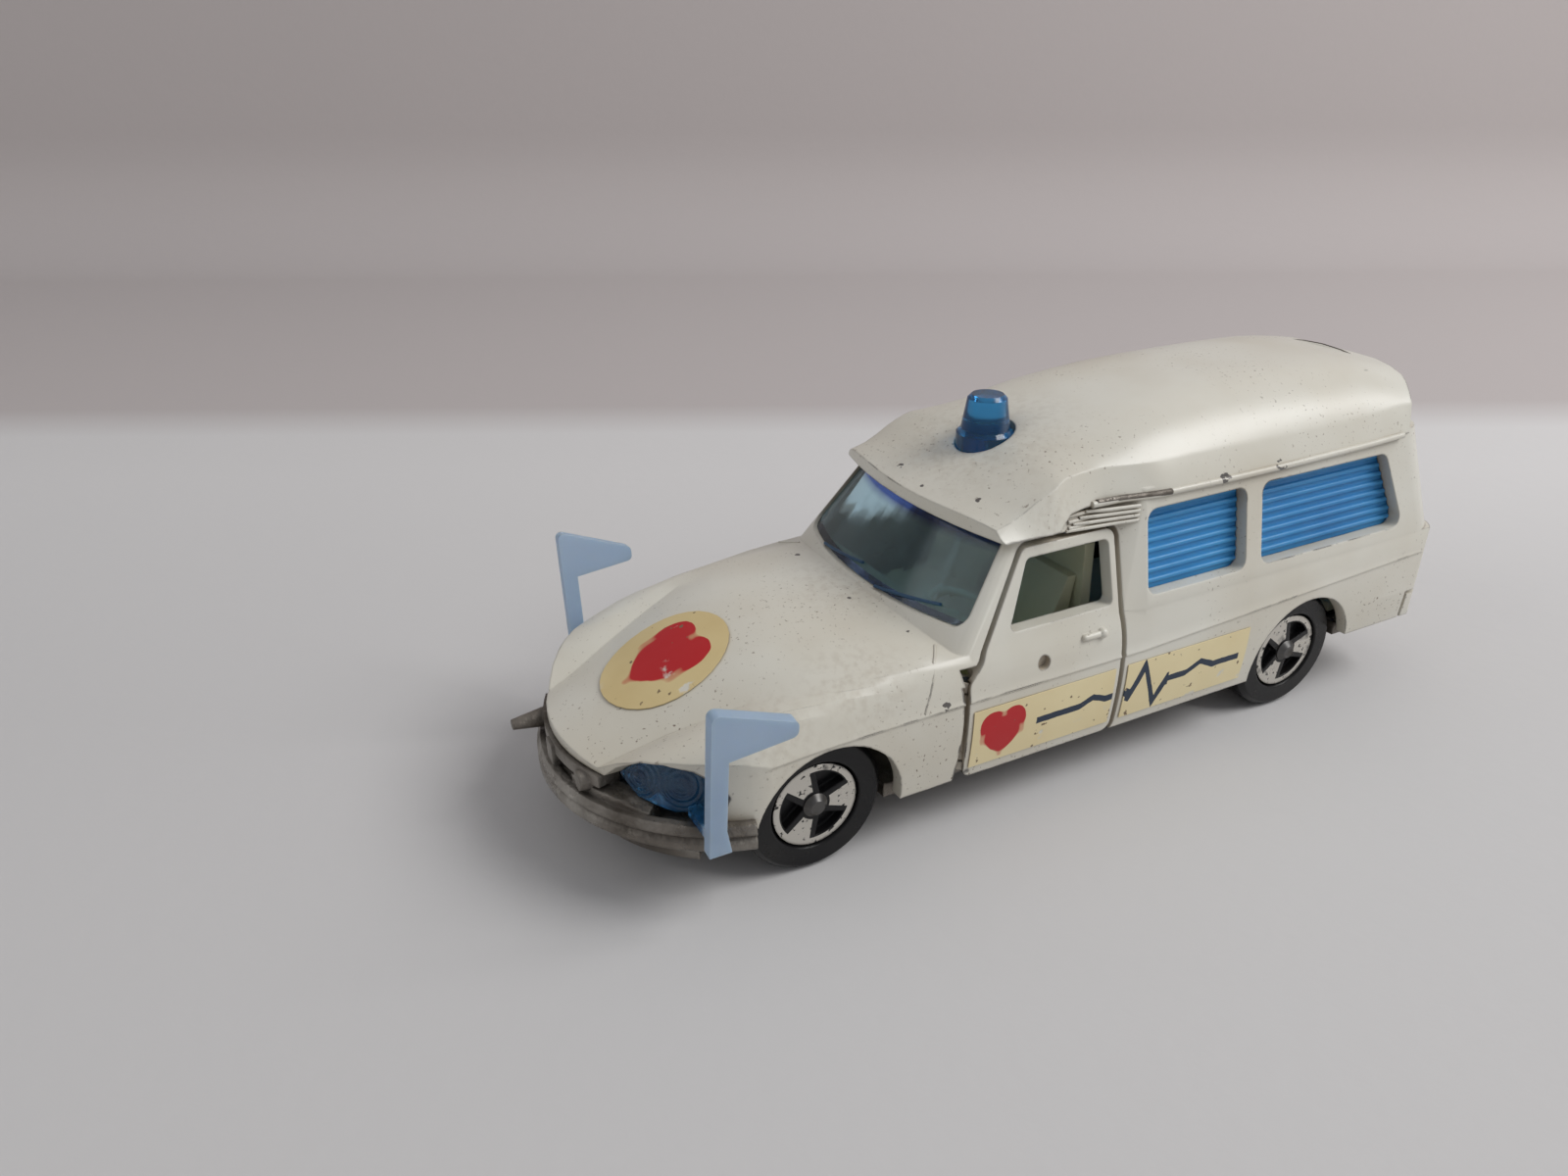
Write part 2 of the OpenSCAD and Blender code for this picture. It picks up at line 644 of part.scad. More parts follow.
module nose_sweep(angle, turn = 0) {
    translate([0, nose_r - nose_reach, 0]) rotate([0, 0, turn - 90 - angle / 2])
        rotate_extrude(angle = angle, $fn = 2 * round_fn) children();
}
module blade_profile() {
    outer = nose_r + blade_out;
    middle = mix(blade_z, blade_top_z, blade_share);
    polygon([[outer - blade_t, blade_z], [outer - blade_groove, blade_z], [outer, blade_z + blade_groove],
        [outer, middle - blade_groove], [outer - blade_groove, middle],
        [outer, middle + blade_groove], [outer - blade_groove, blade_top_z], [nose_r + fit_gap, blade_top_z],
        [nose_r + fit_gap, blade_step_z], [outer - blade_t, blade_step_z]]);
}
module overrider(s, length) {
    translate([s * override_x, override_len - front_overhang - length, override_z]) rotate([-90, 0, 0])
        cylinder(r1 = mix(override_r, override_tip_r, length / override_len), r2 = override_r, h = length,
            $fn = fine_fn);
}
module front_bumper() {
    nose_sweep(blade_angle) blade_profile();
    difference() {
        union() {
            nose_sweep(valance_angle) polygon([[nose_r - nose_t - valance_in, floor_top_z - block_in],
                [nose_r - nose_t - valance_taper, valance_z], [nose_r - valance_in - valance_taper, valance_z],
                [nose_r - valance_in, blade_z + block_in], [nose_r, blade_z + block_in],
                [nose_r, blade_step_z - block_in], [nose_r - nose_t, blade_step_z - block_in]]);
            nose_sweep(band_angle) polygon([[nose_r - nose_t, blade_z + band_lap],
                [nose_r + band_lap, blade_z + band_lap], [nose_r + band_lap, blade_top_z - band_lap],
                [nose_r - slot_depth, blade_top_z], [nose_r - slot_depth, band_z - slot_depth / 4],
                [nose_r + band_out, band_z], [nose_r + band_out, band_top_z], [nose_r - nose_t, band_top_z]]);
            for (s = [-1, 1]) nose_sweep(block_angle, s * block_turn)
                translate([nose_r - nose_t + block_in, floor_top_z + block_in])
                    square([nose_t, block_top_z - floor_top_z - block_in]);
        }
        both_sides() front_prism(-front_overhang, 0) lamp_outline(fit_gap);
    }
    translate([-middle_post_w / 2, -nose_reach - blade_out / 2, blade_z])
        cube([middle_post_w, blade_out, band_top_z - blade_z - block_in]);
    overrider(-1, override_len);
    overrider(1, stub_len);
}
module floor_part(z, y_low, y_high, gap) {
    translate([0, 0, z]) linear_extrude(floor_t) intersection() {
        difference() {
            lower_plan(wall + gap);
            for (s = [-1, 1], y = axle_ys) translate([s * (inner_track + half_w / 2), y])
                square([half_w, 2 * (wheel_r + wheel_room)], center = true);
        }
        translate([-half_w, y_low]) square([body_w, y_high - y_low]);
    }
}
module at_axle(s) {
    translate([0, s > 0 ? 0 : wheelbase, 0]) scale([1, s, 1]) children();
}
module saddle(s, y) {
    translate([s * saddle_x - saddle_w / 2, y - saddle_len / 2, floor_z + floor_t / 2]) difference() {
        cube([saddle_w, saddle_len, interior_z - floor_z - floor_t / 2]);
        translate([-over, saddle_len / 2 - axle_r - run_gap, axle_z - axle_r - run_gap - floor_z - floor_t / 2])
            cube([saddle_w + 2 * over, 2 * (axle_r + run_gap), interior_z]);
    }
}
module base_plate() color(zinc) difference() {
    union() {
        floor_part(floor_z, -front_overhang, rear_floor_y, base_gap);
        floor_part(rear_floor_z, rear_floor_y - floor_t, tail_y, rear_base_gap);
        translate([-inner_track + wheel_room, rear_floor_y - riser_back, floor_z + floor_t / 2])
            cube([2 * (inner_track - wheel_room), floor_t / 2, rear_floor_z - floor_z]);
        front_bumper();
        for (y = axle_ys, s = [-1, 1]) saddle(s, y);
        for (s = [-1, 1]) at_axle(s) translate([-spring_w / 2, spring_len - spring_post_len, floor_z + floor_t / 2])
            cube([spring_w, spring_post_len, axle_z + axle_r + run_gap - floor_z - floor_t / 2]);
        for (s = [-1, 1]) {
            translate([s * seat_post_x - seat_post_w / 2, seat_post_y, floor_z + floor_t / 2])
                cube([seat_post_w, seat_post_w, interior_z - floor_z - floor_t / 2]);
            translate([s * rail_x - rail_w / 2, arch_r, floor_z - rail_h])
                cube([rail_w, wheelbase - 2 * arch_r, floor_t]);
        }
    }
    for (y = axle_ys) x_bar(axle_r + run_gap, body_w, y, axle_z);
    for (i = [0, 1]) translate([0, rivet_ys[i], 0]) {
        cylinder(r = rivet_r + fit_gap, h = skirt_z + over, $fn = round_fn);
        cylinder(r = rivet_head_r + fit_gap, h = rivet_zs[i] + rivet_head_h, $fn = round_fn);
    }
}
// Rivets that hold the base to the posts of the body
rivet_head_r = 1.7;
rivet_head_h = 0.45;
module base_rivets() color(steel) {
    for (i = [0, 1]) translate([0, rivet_ys[i], rivet_zs[i]]) rotate_extrude($fn = round_fn)
        polygon([[0, 0], [rivet_head_r, 0], [rivet_head_r, rivet_head_h], [rivet_r, rivet_head_h],
            [rivet_r, rivet_len], [0, rivet_len]]);
}

// Interior moulding: floor, seats, dash and steering wheel
interior_t = 0.8;
interior_in = 1.65;
interior_x = half_w - wall - interior_in;
seat_w = 7;
seat_h = 3.2;
seat_len = 6.2;
seat_back_z = 16.6;
seat_back_t = 1.6;
seat_back_lean = 1.3;
partition_z = 19;
partition_t = 0.9;
dash_y = 11.6;
dash_z = 14.3;
dash_t = 1.2;
dash_depth = 2.2;
dash_low = 2;
dash_x = half_w - wall - 2 * interior_in + wall / 2;
wheel_ring_r = 2;
wheel_bar_r = 0.26;
wheel_tilt = 52;
wheel_lift = 0.5;
hub_r = 0.55;
module steering_wheel() {
    translate([seat_w / 2 + seat_h / 3, dash_y + dash_t + dash_depth, dash_z - wheel_ring_r / 2 + wheel_lift])
        rotate([wheel_tilt, 0, 0]) {
            rotate_extrude($fn = round_fn) translate([wheel_ring_r, 0]) circle(wheel_bar_r, $fn = fine_fn);
            translate([-wheel_ring_r, -wheel_bar_r, -wheel_bar_r])
                cube([2 * wheel_ring_r, 2 * wheel_bar_r, 2 * wheel_bar_r]);
            translate([0, 0, -dash_depth - dash_t])
                cylinder(r = hub_r, h = dash_depth + dash_t + wheel_bar_r, $fn = fine_fn);
        }
}
module interior() color(pale_green) {
    floor_top = interior_z + interior_t;
    seat_y = door_end_y - seat_len - partition_t - seat_back_t;
    difference() {
        translate([-interior_x, dash_y, interior_z])
            cube([2 * interior_x, tail_y - bumper_len - blade_t - dash_y, interior_t]);
        for (s = [-1, 1]) translate([s * (inner_track - wheel_room + half_w / 2), wheelbase, interior_z])
            cube([half_w, 2 * (wheel_r + 2 * wheel_room), 2 * interior_t + over], center = true);
        for (y = rivet_ys) translate([0, y, 0])
            cylinder(r = rivet_post_r + fit_gap, h = interior_z + over + interior_t, $fn = fine_fn);
    }
    for (s = [-1, 1]) translate([s * (seat_w / 2 + seat_h / 3), seat_y, floor_top - interior_t / 2]) {
        translate([-seat_w / 2, 0, 0]) cube([seat_w, seat_len + seat_back_t, seat_h + interior_t / 2]);
        translate([-seat_w / 2, seat_len - seat_back_lean, 0]) rotate([90, 0, 90]) linear_extrude(seat_w)
            polygon([[0, 0], [seat_back_t, 0], [seat_back_lean + seat_back_t, seat_back_z - floor_top],
                [seat_back_lean + seat_back_t / 2, seat_back_z - floor_top], [0, seat_h]]);
    }
    translate([0, door_end_y - partition_t, 0]) rotate([90, 0, 0]) translate([0, 0, -partition_t])
        linear_extrude(partition_t) polygon([[-interior_x + wall, interior_z + interior_t / 2],
            [interior_x - wall, interior_z + interior_t / 2], [door_x(partition_z) - 2 * wall, partition_z],
            [-door_x(partition_z) + 2 * wall, partition_z]]);
    translate([-dash_x, dash_y, interior_z]) cube([2 * dash_x, dash_t, dash_z - interior_z]);
    translate([-dash_x, dash_y, dash_z - dash_low]) rotate([90, 0, 90]) linear_extrude(2 * dash_x)
        polygon([[0, 0], [dash_t + dash_depth, dash_low / 2], [dash_t + dash_depth / 2, dash_low], [0, dash_low]]);
    steering_wheel();
}

// Windows
screen_sink = 0.3;
flange_w = 0.8;
module screen_room() {
    low = hood_z - flange_w;
    high = screen_top_z + flange_w;
    deep = screen_bow + flange_w / 2;
    side_prism(-half_w, half_w)
        polygon([[0, low], [screen_at(low) + deep, low], [screen_at(high) + deep, high], [0, high]]);
}
module windscreen() color(blue) intersection() {
    difference() {
        union() {
            intersection() {
                front_cabin(screen_sink);
                front_prism(0, screen_at(screen_top_z) + screen_bow) screen_outline(-fit_gap);
            }
            intersection() {
                front_cabin(wall + fit_gap);
                front_prism(0, screen_at(screen_top_z) + screen_bow - flange_w) screen_outline(flange_w / 2);
            }
        }
        front_cabin(wall + fit_gap + glass_t);
    }
    screen_room();
}
louvre_count = 8;
louvre_r = 0.24;
louvre_edge = 0.55;
module side_glass() {
    high = window_top_z + flange_w;
    low = window_z - flange_w;
    face = [[rear_x(high), high], [rear_x(low), low]];
    outer_in = wall + fit_gap;
    front_prism(middle_window_y + fit_gap, rear_window_end + flange_w / 2)
        polygon(band(face, outer_in, outer_in + glass_t));
    intersection() {
        for (i = [0:louvre_count - 1]) {
            z = mix(window_z + louvre_edge, window_top_z - louvre_edge, i / (louvre_count - 1));
            translate([rear_x(z) - outer_in, middle_window_y, z]) rotate([-90, 0, 0])
                cylinder(r = louvre_r, h = rear_window_end - middle_window_y, $fn = fine_fn);
        }
        side_prism(door_x(roof_z), half_w) offset(delta = -fit_gap) window_outlines();
    }
}
module left_side_glass() color(blue) side_glass();
module right_side_glass() color(blue) mirror([1, 0, 0]) side_glass();

// Beacon with a flange under the roof
beacon_z = 25.7;
beacon_top_r = 1.55;
beacon_waist_share = 0.86;
beacon_edge = 0.3;
beacon_flange_r = 3;
beacon_flange_h = 0.6;
beacon_flange_z = 22.6;
module beacon_lens() color(blue) translate([0, beacon_y, 0]) rotate_extrude($fn = round_fn) {
    top = beacon_z + beacon_h;
    polygon([[0, beacon_flange_z], [beacon_flange_r, beacon_flange_z],
        [beacon_flange_r, beacon_flange_z + beacon_flange_h], [beacon_r, beacon_flange_z + beacon_flange_h],
        [beacon_r, beacon_z + beacon_edge], [beacon_r * beacon_waist_share, beacon_z + 2 * beacon_edge],
        [beacon_top_r, top - beacon_edge], [beacon_top_r - beacon_edge, top], [0, top]]);
}

// Lamp lens and flag in one moulding
lens_rake = 0.85;
lens_t = 1.5;
lens_sink = 0.4;
strap_w = 0.9;
strap_h = 0.7;
strap_z = 7.15;
strap_lap = 1.6;
strap_x = lamp_in + lamp_w - strap_lap;
flag_out = 0.95;
flag_back = 6.2;
flag_x = half_w + flag_out;
flag_y = flag_back - nose_reach;
flag_lean = 6.4;
flag_t = 0.9;
flag_foot_z = 6.3;
pole_w = 1.2;
foot_w = 1.6;
foot_h = 2;
pennant_h = 4;
pennant_drop = 2.4;
pennant_tip_h = 1.1;
pennant_r = 0.45;
module lens_cone(t) {
    translate([0, nose_r - nose_reach, skirt_z])
        cylinder(r1 = nose_r - t, r2 = nose_r - t - lens_rake, h = lip_z + lamp_h - skirt_z, $fn = 2 * round_fn);
}
module flag_outline() {
    top = flag_z - flag_foot_z;
    polygon([[0, 0], [foot_w, 0], [pole_w, foot_h], [pole_w, top - pennant_h], [0, top - pennant_h]]);
    offset(r = pennant_r, $fn = corner_fn) offset(delta = -pennant_r)
        polygon([[0, top], [0, top - pennant_h - pole_w],
        [pole_w, top - pennant_h - pole_w], [pole_w, top - pennant_h],
        [flag_len, top - pennant_drop - pennant_tip_h], [flag_len, top - pennant_drop]]);
}
module lamp_flag() {
    intersection() {
        difference() {
            lens_cone(lens_sink);
            lens_cone(lens_sink + lens_t);
        }
        front_prism(-front_overhang, -nose_cut_share * nose_reach - base_gap) lamp_outline(-fit_gap);
    }
    translate([strap_x, flag_y - strap_w / 2, strap_z]) cube([flag_x - strap_x, strap_w, strap_h]);
    translate([flag_x, flag_y - pole_w / 2, flag_foot_z]) rotate([0, flag_lean, 0])
        side_prism(-flag_t / 2, flag_t / 2) flag_outline();
}
module left_lamp_flag() color(milky_blue) lamp_flag();
module right_lamp_flag() color(milky_blue) mirror([1, 0, 0]) lamp_flag();

// Doors
handle_y = 11.3;
handle_z = 13.5;
handle_len = 1.7;
handle_r = 0.26;
handle_in = 0.33;
dimple_y = 6.6;
dimple_z = 12.5;
dimple_r = 0.55;
dimple_depth = 0.35;
knuckle_z = door_lug_zs[0] + lug_h + lug_gap;
knuckle_h = door_lug_zs[1] - lug_gap - knuckle_z;
function door_side() = concat([[door_x(door_top_z + over), door_top_z + over]],
    [for (i = [crown_steps:len(door_section) - 1]) door_section[i]],
    [[half_w - sill_inset, sill_z - over]]);
module at_door_hinge(z) {
    translate([door_hinge[0], door_hinge[1], z]) children();
}
module door() {
    difference() {
        union() {
            intersection() {
                front_prism(door_y - over, door_end_y + over) polygon(band(door_side(), 0, door_t));
                side_prism(door_x(roof_z), half_w + over) door_outline(0);
            }
            at_door_hinge(knuckle_z) cylinder(r = lug_r, h = knuckle_h, $fn = fine_fn);
            translate([half_w - handle_in, door_y + handle_y, handle_z]) {
                rotate([90, 0, 0]) cylinder(r = handle_r, h = handle_len, center = true, $fn = fine_fn);
                for (s = [-1, 1]) translate([0, s * handle_len / 2, 0])
                    sphere(s < 0 ? handle_r : handle_r + lug_gap, $fn = fine_fn);
            }
        }
        side_prism(0, half_w + over) door_window_outline();
        for (z = door_lug_zs) at_door_hinge(z - lug_gap)
            cylinder(r = lug_r + lug_gap, h = lug_h + 2 * lug_gap, $fn = fine_fn);
        at_door_hinge(0) cylinder(r = pin_r + run_gap, h = belt_z, $fn = fine_fn);
        translate([half_w - belt_inset / 3 - dimple_depth, door_y + dimple_y, dimple_z]) rotate([0, 90, 0])
            cylinder(r = dimple_r, h = over, $fn = fine_fn);
    }
}
module door_pin() {
    at_door_hinge(door_lug_zs[0]) cylinder(r = pin_r, h = door_lug_zs[1] + lug_h - door_lug_zs[0], $fn = fine_fn);
}
module left_door() color(paint) door();
module right_door() color(paint) mirror([1, 0, 0]) door();
module left_door_pin() color(steel) door_pin();
module right_door_pin() color(steel) mirror([1, 0, 0]) door_pin();

// Tailgate
tail_window_x = 5.6;
tail_handle_w = 4;
tail_handle_lift = 1.4;
function tail_side() = [[-tail_at(tailgate_top_z + over), tailgate_top_z + over], [-tail_y, belt_z],
    [-tail_y, tailgate_z - over]];
module tail_band(g_out, g_in, w) {
    translate([-w / 2, 0, 0]) rotate([90, 0, 90]) linear_extrude(w)
        mirror([1, 0]) polygon(band(tail_side(), -g_out, -g_in));
}
module tail_window_outline(g) {
    offset(r = window_r + g, $fn = fine_fn) offset(delta = -window_r)
        translate([-tail_window_x, window_z]) square([2 * tail_window_x, window_h]);
}
module tailgate() color(paint) difference() {
    union() {
        intersection() {
            tail_band(0, door_t, tailgate_w);
            front_prism(0, tail_y + over) tailgate_outline(0);
        }
        x_bar(lug_r, 2 * (tailgate_lug_x - lug_h / 2 - lug_gap), tailgate_hinge[0], tailgate_hinge[1]);
        x_bar(handle_r, tail_handle_w, tail_y - handle_r / 2, tailgate_z + tail_handle_lift);
    }
    front_prism(0, tail_y + over) tail_window_outline(0);
    for (s = [-1, 1]) translate([s * tailgate_lug_x, 0, 0])
        x_bar(lug_r + lug_gap, lug_h + 2 * lug_gap, tailgate_hinge[0], tailgate_hinge[1]);
    x_bar(pin_r + run_gap, body_w, tailgate_hinge[0], tailgate_hinge[1]);
    translate([-body_w, tail_y, 0]) cube([2 * body_w, over, belt_z]);
}
module tailgate_glass() color(blue) intersection() {
    tail_band(door_t, door_t + glass_t, tailgate_w);
    front_prism(0, tail_y + over) tail_window_outline(flange_w);
}
module tailgate_pin() color(steel) x_bar(pin_r, tailgate_pin_w, tailgate_hinge[0], tailgate_hinge[1]);

// Axles, springs and wheels
head_r = 0.95;
head_h = 0.4;
head_gap = 0.05;
tyre_edge = 0.4;
rim_r = 3.55;
rim_depth = 0.9;
rim_step = 0.25;
ring_r = 3.3;
ring_in_r = 2.72;
ring_h = 0.75;
spoke_out = 3.1;
spoke_in = 1.1;
spoke_count = 3;
spoke_turn = 90;
wheel_hub_r = 0.95;
wheel_hub_h = 0.75;
boss_r = 1.3;
boss_h = 0.45;
axle_half = track_w / 2 - rim_depth + wheel_hub_h + head_gap;
module axle(y) {
    translate([0, y, axle_z]) rotate([0, 90, 0]) rotate_extrude($fn = round_fn)
        polygon([[0, -axle_half - head_h], [head_r - head_h, -axle_half - head_h], [head_r, -axle_half],
            [axle_r, -axle_half], [axle_r, axle_half], [head_r, axle_half], [head_r - head_h, axle_half + head_h],
            [0, axle_half + head_h]]);
}
module leaf_spring(s) {
    at_axle(s) translate([-spring_w / 2, -axle_r, axle_z + axle_r + run_gap])
        cube([spring_w, spring_len + axle_r, spring_t]);
}
module wheel(y) {
    floor_x = wheel_w - rim_depth;
    bore = axle_r + run_gap;
    translate([track_w / 2 - wheel_w, y, axle_z]) rotate([0, 90, 0]) difference() {
        union() {
            rotate_extrude($fn = 2 * round_fn) polygon([[0, -boss_h], [boss_r, -boss_h], [boss_r, 0],
                [wheel_r - tyre_edge, 0], [wheel_r, tyre_edge], [wheel_r, wheel_w - tyre_edge],
                [wheel_r - tyre_edge, wheel_w], [rim_r, wheel_w], [rim_r - rim_step, floor_x], [0, floor_x]]);
            translate([0, 0, floor_x]) {
                linear_extrude(ring_h) {
                    difference() {
                        circle(ring_r, $fn = round_fn);
                        circle(ring_in_r, $fn = round_fn);
                    }
                    for (k = [1:spoke_count]) rotate(spoke_turn + 360 * k / spoke_count)
                        polygon([[0, -spoke_in / 2], [ring_in_r + rim_step, -spoke_out / 2],
                            [ring_in_r + rim_step, spoke_out / 2], [0, spoke_in / 2]]);
                }
                cylinder(r = wheel_hub_r, h = wheel_hub_h, $fn = round_fn);
            }
        }
        translate([0, 0, -2 * boss_h]) cylinder(r = bore, h = wheel_w + 2 * boss_h + over, $fn = round_fn);
    }
}
module front_axle() color(steel) axle(0);
module rear_axle() color(steel) axle(wheelbase);
module front_spring() color(steel) leaf_spring(1);
module rear_spring() color(steel) leaf_spring(-1);
module front_left_wheel() color(black) wheel(0);
module front_right_wheel() color(black) mirror([1, 0, 0]) wheel(0);
module rear_left_wheel() color(black) wheel(wheelbase);
module rear_right_wheel() color(black) mirror([1, 0, 0]) wheel(wheelbase);

// Paper labels
label_t = 0.06;
label_lift = 0.08;
label_y = -6.3;
label_rings = 5;
label_ring_share = 1.5;
label_knot = 3;
label_knots = 9;
label_edge = 0.4;
label_end = 13.5;
hood_rows = rows(hood_shares, hood_steps);
function row_y(i) = hood_rows[i][0] * hood_run - nose_reach;
function crown_top(s, x) = lookup(abs(x), crown_curve(s[2] * belt_x, s[3] * belt_z, s[1] * hood_z));
function hood_top(x, y) =
    let (below = [for (i = [0:len(hood_rows) - 2]) if (row_y(i) <= y) i])
    let (k = below[len(below) - 1])
    mix(crown_top(hood_rows[k], x), crown_top(hood_rows[k + 1], x), (y - row_y(k)) / (row_y(k + 1) - row_y(k)));
module hood_label() color(label_cream) {
    disc = [for (k = [1:label_rings]) [for (i = [0:fine_fn - 1])
        let (r = label_d / 2 * pow(k / label_rings, label_ring_share))
        [r * cos(360 * i / fine_fn), label_y + r * sin(360 * i / fine_fn)]]];
    skin([for (t = [0, label_t]) each [for (k = [0:label_rings - 1])
        [for (p = disc[t == 0 ? k : label_rings - 1 - k]) [p[0], p[1], hood_top(p[0], p[1]) + label_lift + t]]]]);
}
module side_label(ys) {
    line = ridge_curve(crease_at(door_y));
    part = [for (i = [label_knot:label_knots]) line[i]];
    front_prism(ys[0], ys[1]) polygon(band(part, -label_t - label_lift / 2, -label_lift / 2));
}
door_label_ys = [door_y + label_edge, door_end_y - label_edge];
side_label_ys = [post_y + label_edge, post_y + label_end];
module left_door_label() color(label_cream) side_label(door_label_ys);
module right_door_label() color(label_cream) mirror([1, 0, 0]) side_label(door_label_ys);
module left_side_label() color(label_cream) side_label(side_label_ys);
module right_side_label() color(label_cream) mirror([1, 0, 0]) side_label(side_label_ys);

// The origin is on the ground below the middle of the length
module placed() {
    translate([0, -middle_y, 0]) children();
}
placed() body_shell();
placed() base_plate();
placed() base_rivets();
placed() interior();
placed() windscreen();
placed() left_side_glass();
placed() right_side_glass();
placed() beacon_lens();
placed() left_lamp_flag();
placed() right_lamp_flag();
placed() left_door();
placed() right_door();
placed() left_door_pin();
placed() right_door_pin();
placed() tailgate();
placed() tailgate_glass();
placed() tailgate_pin();
placed() front_axle();
placed() rear_axle();
placed() front_spring();
placed() rear_spring();
placed() front_left_wheel();
placed() front_right_wheel();
placed() rear_left_wheel();
placed() rear_right_wheel();
placed() hood_label();
placed() left_door_label();
placed() right_door_label();
placed() left_side_label();
placed() right_side_label();
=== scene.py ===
import json
import math

import bpy
from mathutils import Matrix, Vector
from mathutils.geometry import closest_point_on_tri

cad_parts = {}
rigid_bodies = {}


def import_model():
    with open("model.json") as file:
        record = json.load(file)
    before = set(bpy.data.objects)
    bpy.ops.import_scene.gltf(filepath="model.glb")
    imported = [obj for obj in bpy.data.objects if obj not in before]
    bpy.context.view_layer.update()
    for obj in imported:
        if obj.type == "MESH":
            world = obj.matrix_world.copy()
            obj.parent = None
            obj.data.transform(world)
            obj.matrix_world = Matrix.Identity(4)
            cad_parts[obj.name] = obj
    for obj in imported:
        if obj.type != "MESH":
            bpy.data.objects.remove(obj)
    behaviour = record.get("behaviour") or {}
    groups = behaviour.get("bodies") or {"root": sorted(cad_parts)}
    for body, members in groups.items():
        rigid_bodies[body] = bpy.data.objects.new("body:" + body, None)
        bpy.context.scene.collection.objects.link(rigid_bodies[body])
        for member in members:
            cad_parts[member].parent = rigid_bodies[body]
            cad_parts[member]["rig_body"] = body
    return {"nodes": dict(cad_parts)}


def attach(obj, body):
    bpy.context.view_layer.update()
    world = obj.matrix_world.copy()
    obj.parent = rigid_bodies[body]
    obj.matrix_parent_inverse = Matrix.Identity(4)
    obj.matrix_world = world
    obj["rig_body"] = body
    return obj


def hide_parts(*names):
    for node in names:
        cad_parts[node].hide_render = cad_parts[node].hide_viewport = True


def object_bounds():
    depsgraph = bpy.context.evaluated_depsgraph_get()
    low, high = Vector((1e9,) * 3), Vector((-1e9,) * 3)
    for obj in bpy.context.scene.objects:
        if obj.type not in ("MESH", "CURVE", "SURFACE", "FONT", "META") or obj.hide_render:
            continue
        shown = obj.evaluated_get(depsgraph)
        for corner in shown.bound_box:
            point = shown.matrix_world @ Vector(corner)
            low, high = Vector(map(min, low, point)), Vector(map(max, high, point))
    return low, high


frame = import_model()
cad_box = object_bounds()

# Body casting: one hollow zinc casting with the hood, the fenders, the sides and the raised roof.
# It is sprayed in thick cream enamel, chipped to the dark metal on its edges and stained brown in the creases.
# The small wedge at each rear corner of the hood is taken flat, so that the hood runs smoothly into the cowl.
mm_per_m = 1000
weld_reach = 1e-6


def smooth_copy(node, name, angle, inward=0.0):
    """A merged copy of a CAD node, its curved faces shaded smooth and all its faces drawn in by that many metres."""
    bpy.ops.object.select_all(action="DESELECT")
    piece = frame["nodes"][node].copy()
    piece.data = piece.data.copy()
    piece.name = name
    piece.parent = None
    for key in list(piece.keys()):
        del piece[key]
    bpy.context.scene.collection.objects.link(piece)
    piece.select_set(True)
    bpy.context.view_layer.objects.active = piece
    bpy.ops.object.mode_set(mode="EDIT")
    bpy.ops.mesh.select_all(action="SELECT")
    bpy.ops.mesh.remove_doubles(threshold=weld_reach)
    bpy.ops.mesh.customdata_custom_splitnormals_clear()
    if inward:
        bpy.ops.transform.shrink_fatten(value=-inward)
    bpy.ops.object.mode_set(mode="OBJECT")
    bpy.ops.object.shade_smooth_by_angle(angle=math.radians(angle))
    piece.select_set(False)
    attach(piece, frame["nodes"][node]["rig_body"])
    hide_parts(node)
    return piece


def dress(piece, material):
    piece.data.materials.clear()
    piece.data.materials.append(material)


def add(tree, kind, inputs=(), **settings):
    """A shader node with its settings; inputs are pairs of a socket and a value or another node's output."""
    made = tree.nodes.new("ShaderNode" + kind)
    for key, value in settings.items():
        setattr(made, key, value)
    for socket, value in inputs:
        if isinstance(value, bpy.types.NodeSocket):
            tree.links.new(value, made.inputs[socket])
        else:
            made.inputs[socket].default_value = value
    return made


def finish_named(name, **shader):
    """A new material with its node tree, its Principled shader and its Object coordinates."""
    material = bpy.data.materials.new(name)
    material.use_nodes = True
    tree = material.node_tree
    surface = tree.nodes["Principled BSDF"]
    for socket, value in shader.items():
        surface.inputs[socket.replace("_", " ")].default_value = value
    place = add(tree, "TexCoord").outputs["Object"]
    return material, tree, surface, place


def sums(tree, operation, first, second=0):
    return add(tree, "Math", [(0, first), (1, second)], operation=operation).outputs[0]


def ramp(tree, value, low, high, start=0.0, end=1.0):
    """Runs from start, where the value is low, to end, where it is high."""
    return add(tree, "MapRange", [(0, value), (1, low), (2, high), (3, start), (4, end)]).outputs[0]


def grain(tree, place, scale, detail):
    return add(tree, "TexNoise", [("Vector", place), ("Scale", scale), ("Detail", detail)]).outputs[0]


def blotches(tree, place, scale, low, high, detail=4):
    """Cloudy noise, cut to run from 0 at low to 1 at high."""
    return ramp(tree, grain(tree, place, scale, detail), low, high)


def over_colour(tree, below, above, amount):
    return add(tree, "Mix", [(0, amount), (6, below), (7, above)], data_type="RGBA").outputs[2]


def rounded(tree, radius, samples):
    """The surface's direction with its sharp edges rounded off."""
    return add(tree, "Bevel", [("Radius", radius)], samples=samples).outputs[0]


def skin_bump(tree, surface, height, strength, distance, normal=None):
    bump = add(tree, "Bump", [("Strength", strength), ("Distance", distance), ("Height", height)])
    if normal is not None:
        tree.links.new(normal, bump.inputs["Normal"])
    tree.links.new(bump.outputs[0], surface.inputs["Normal"])


def away_from(tree, place, centre):
    """How far a point lies from a place on the car in millimetres, itself in metres."""
    spot = [c / mm_per_m for c in centre]
    return add(tree, "VectorMath", [(0, place), (1, spot)], operation="DISTANCE").outputs["Value"]


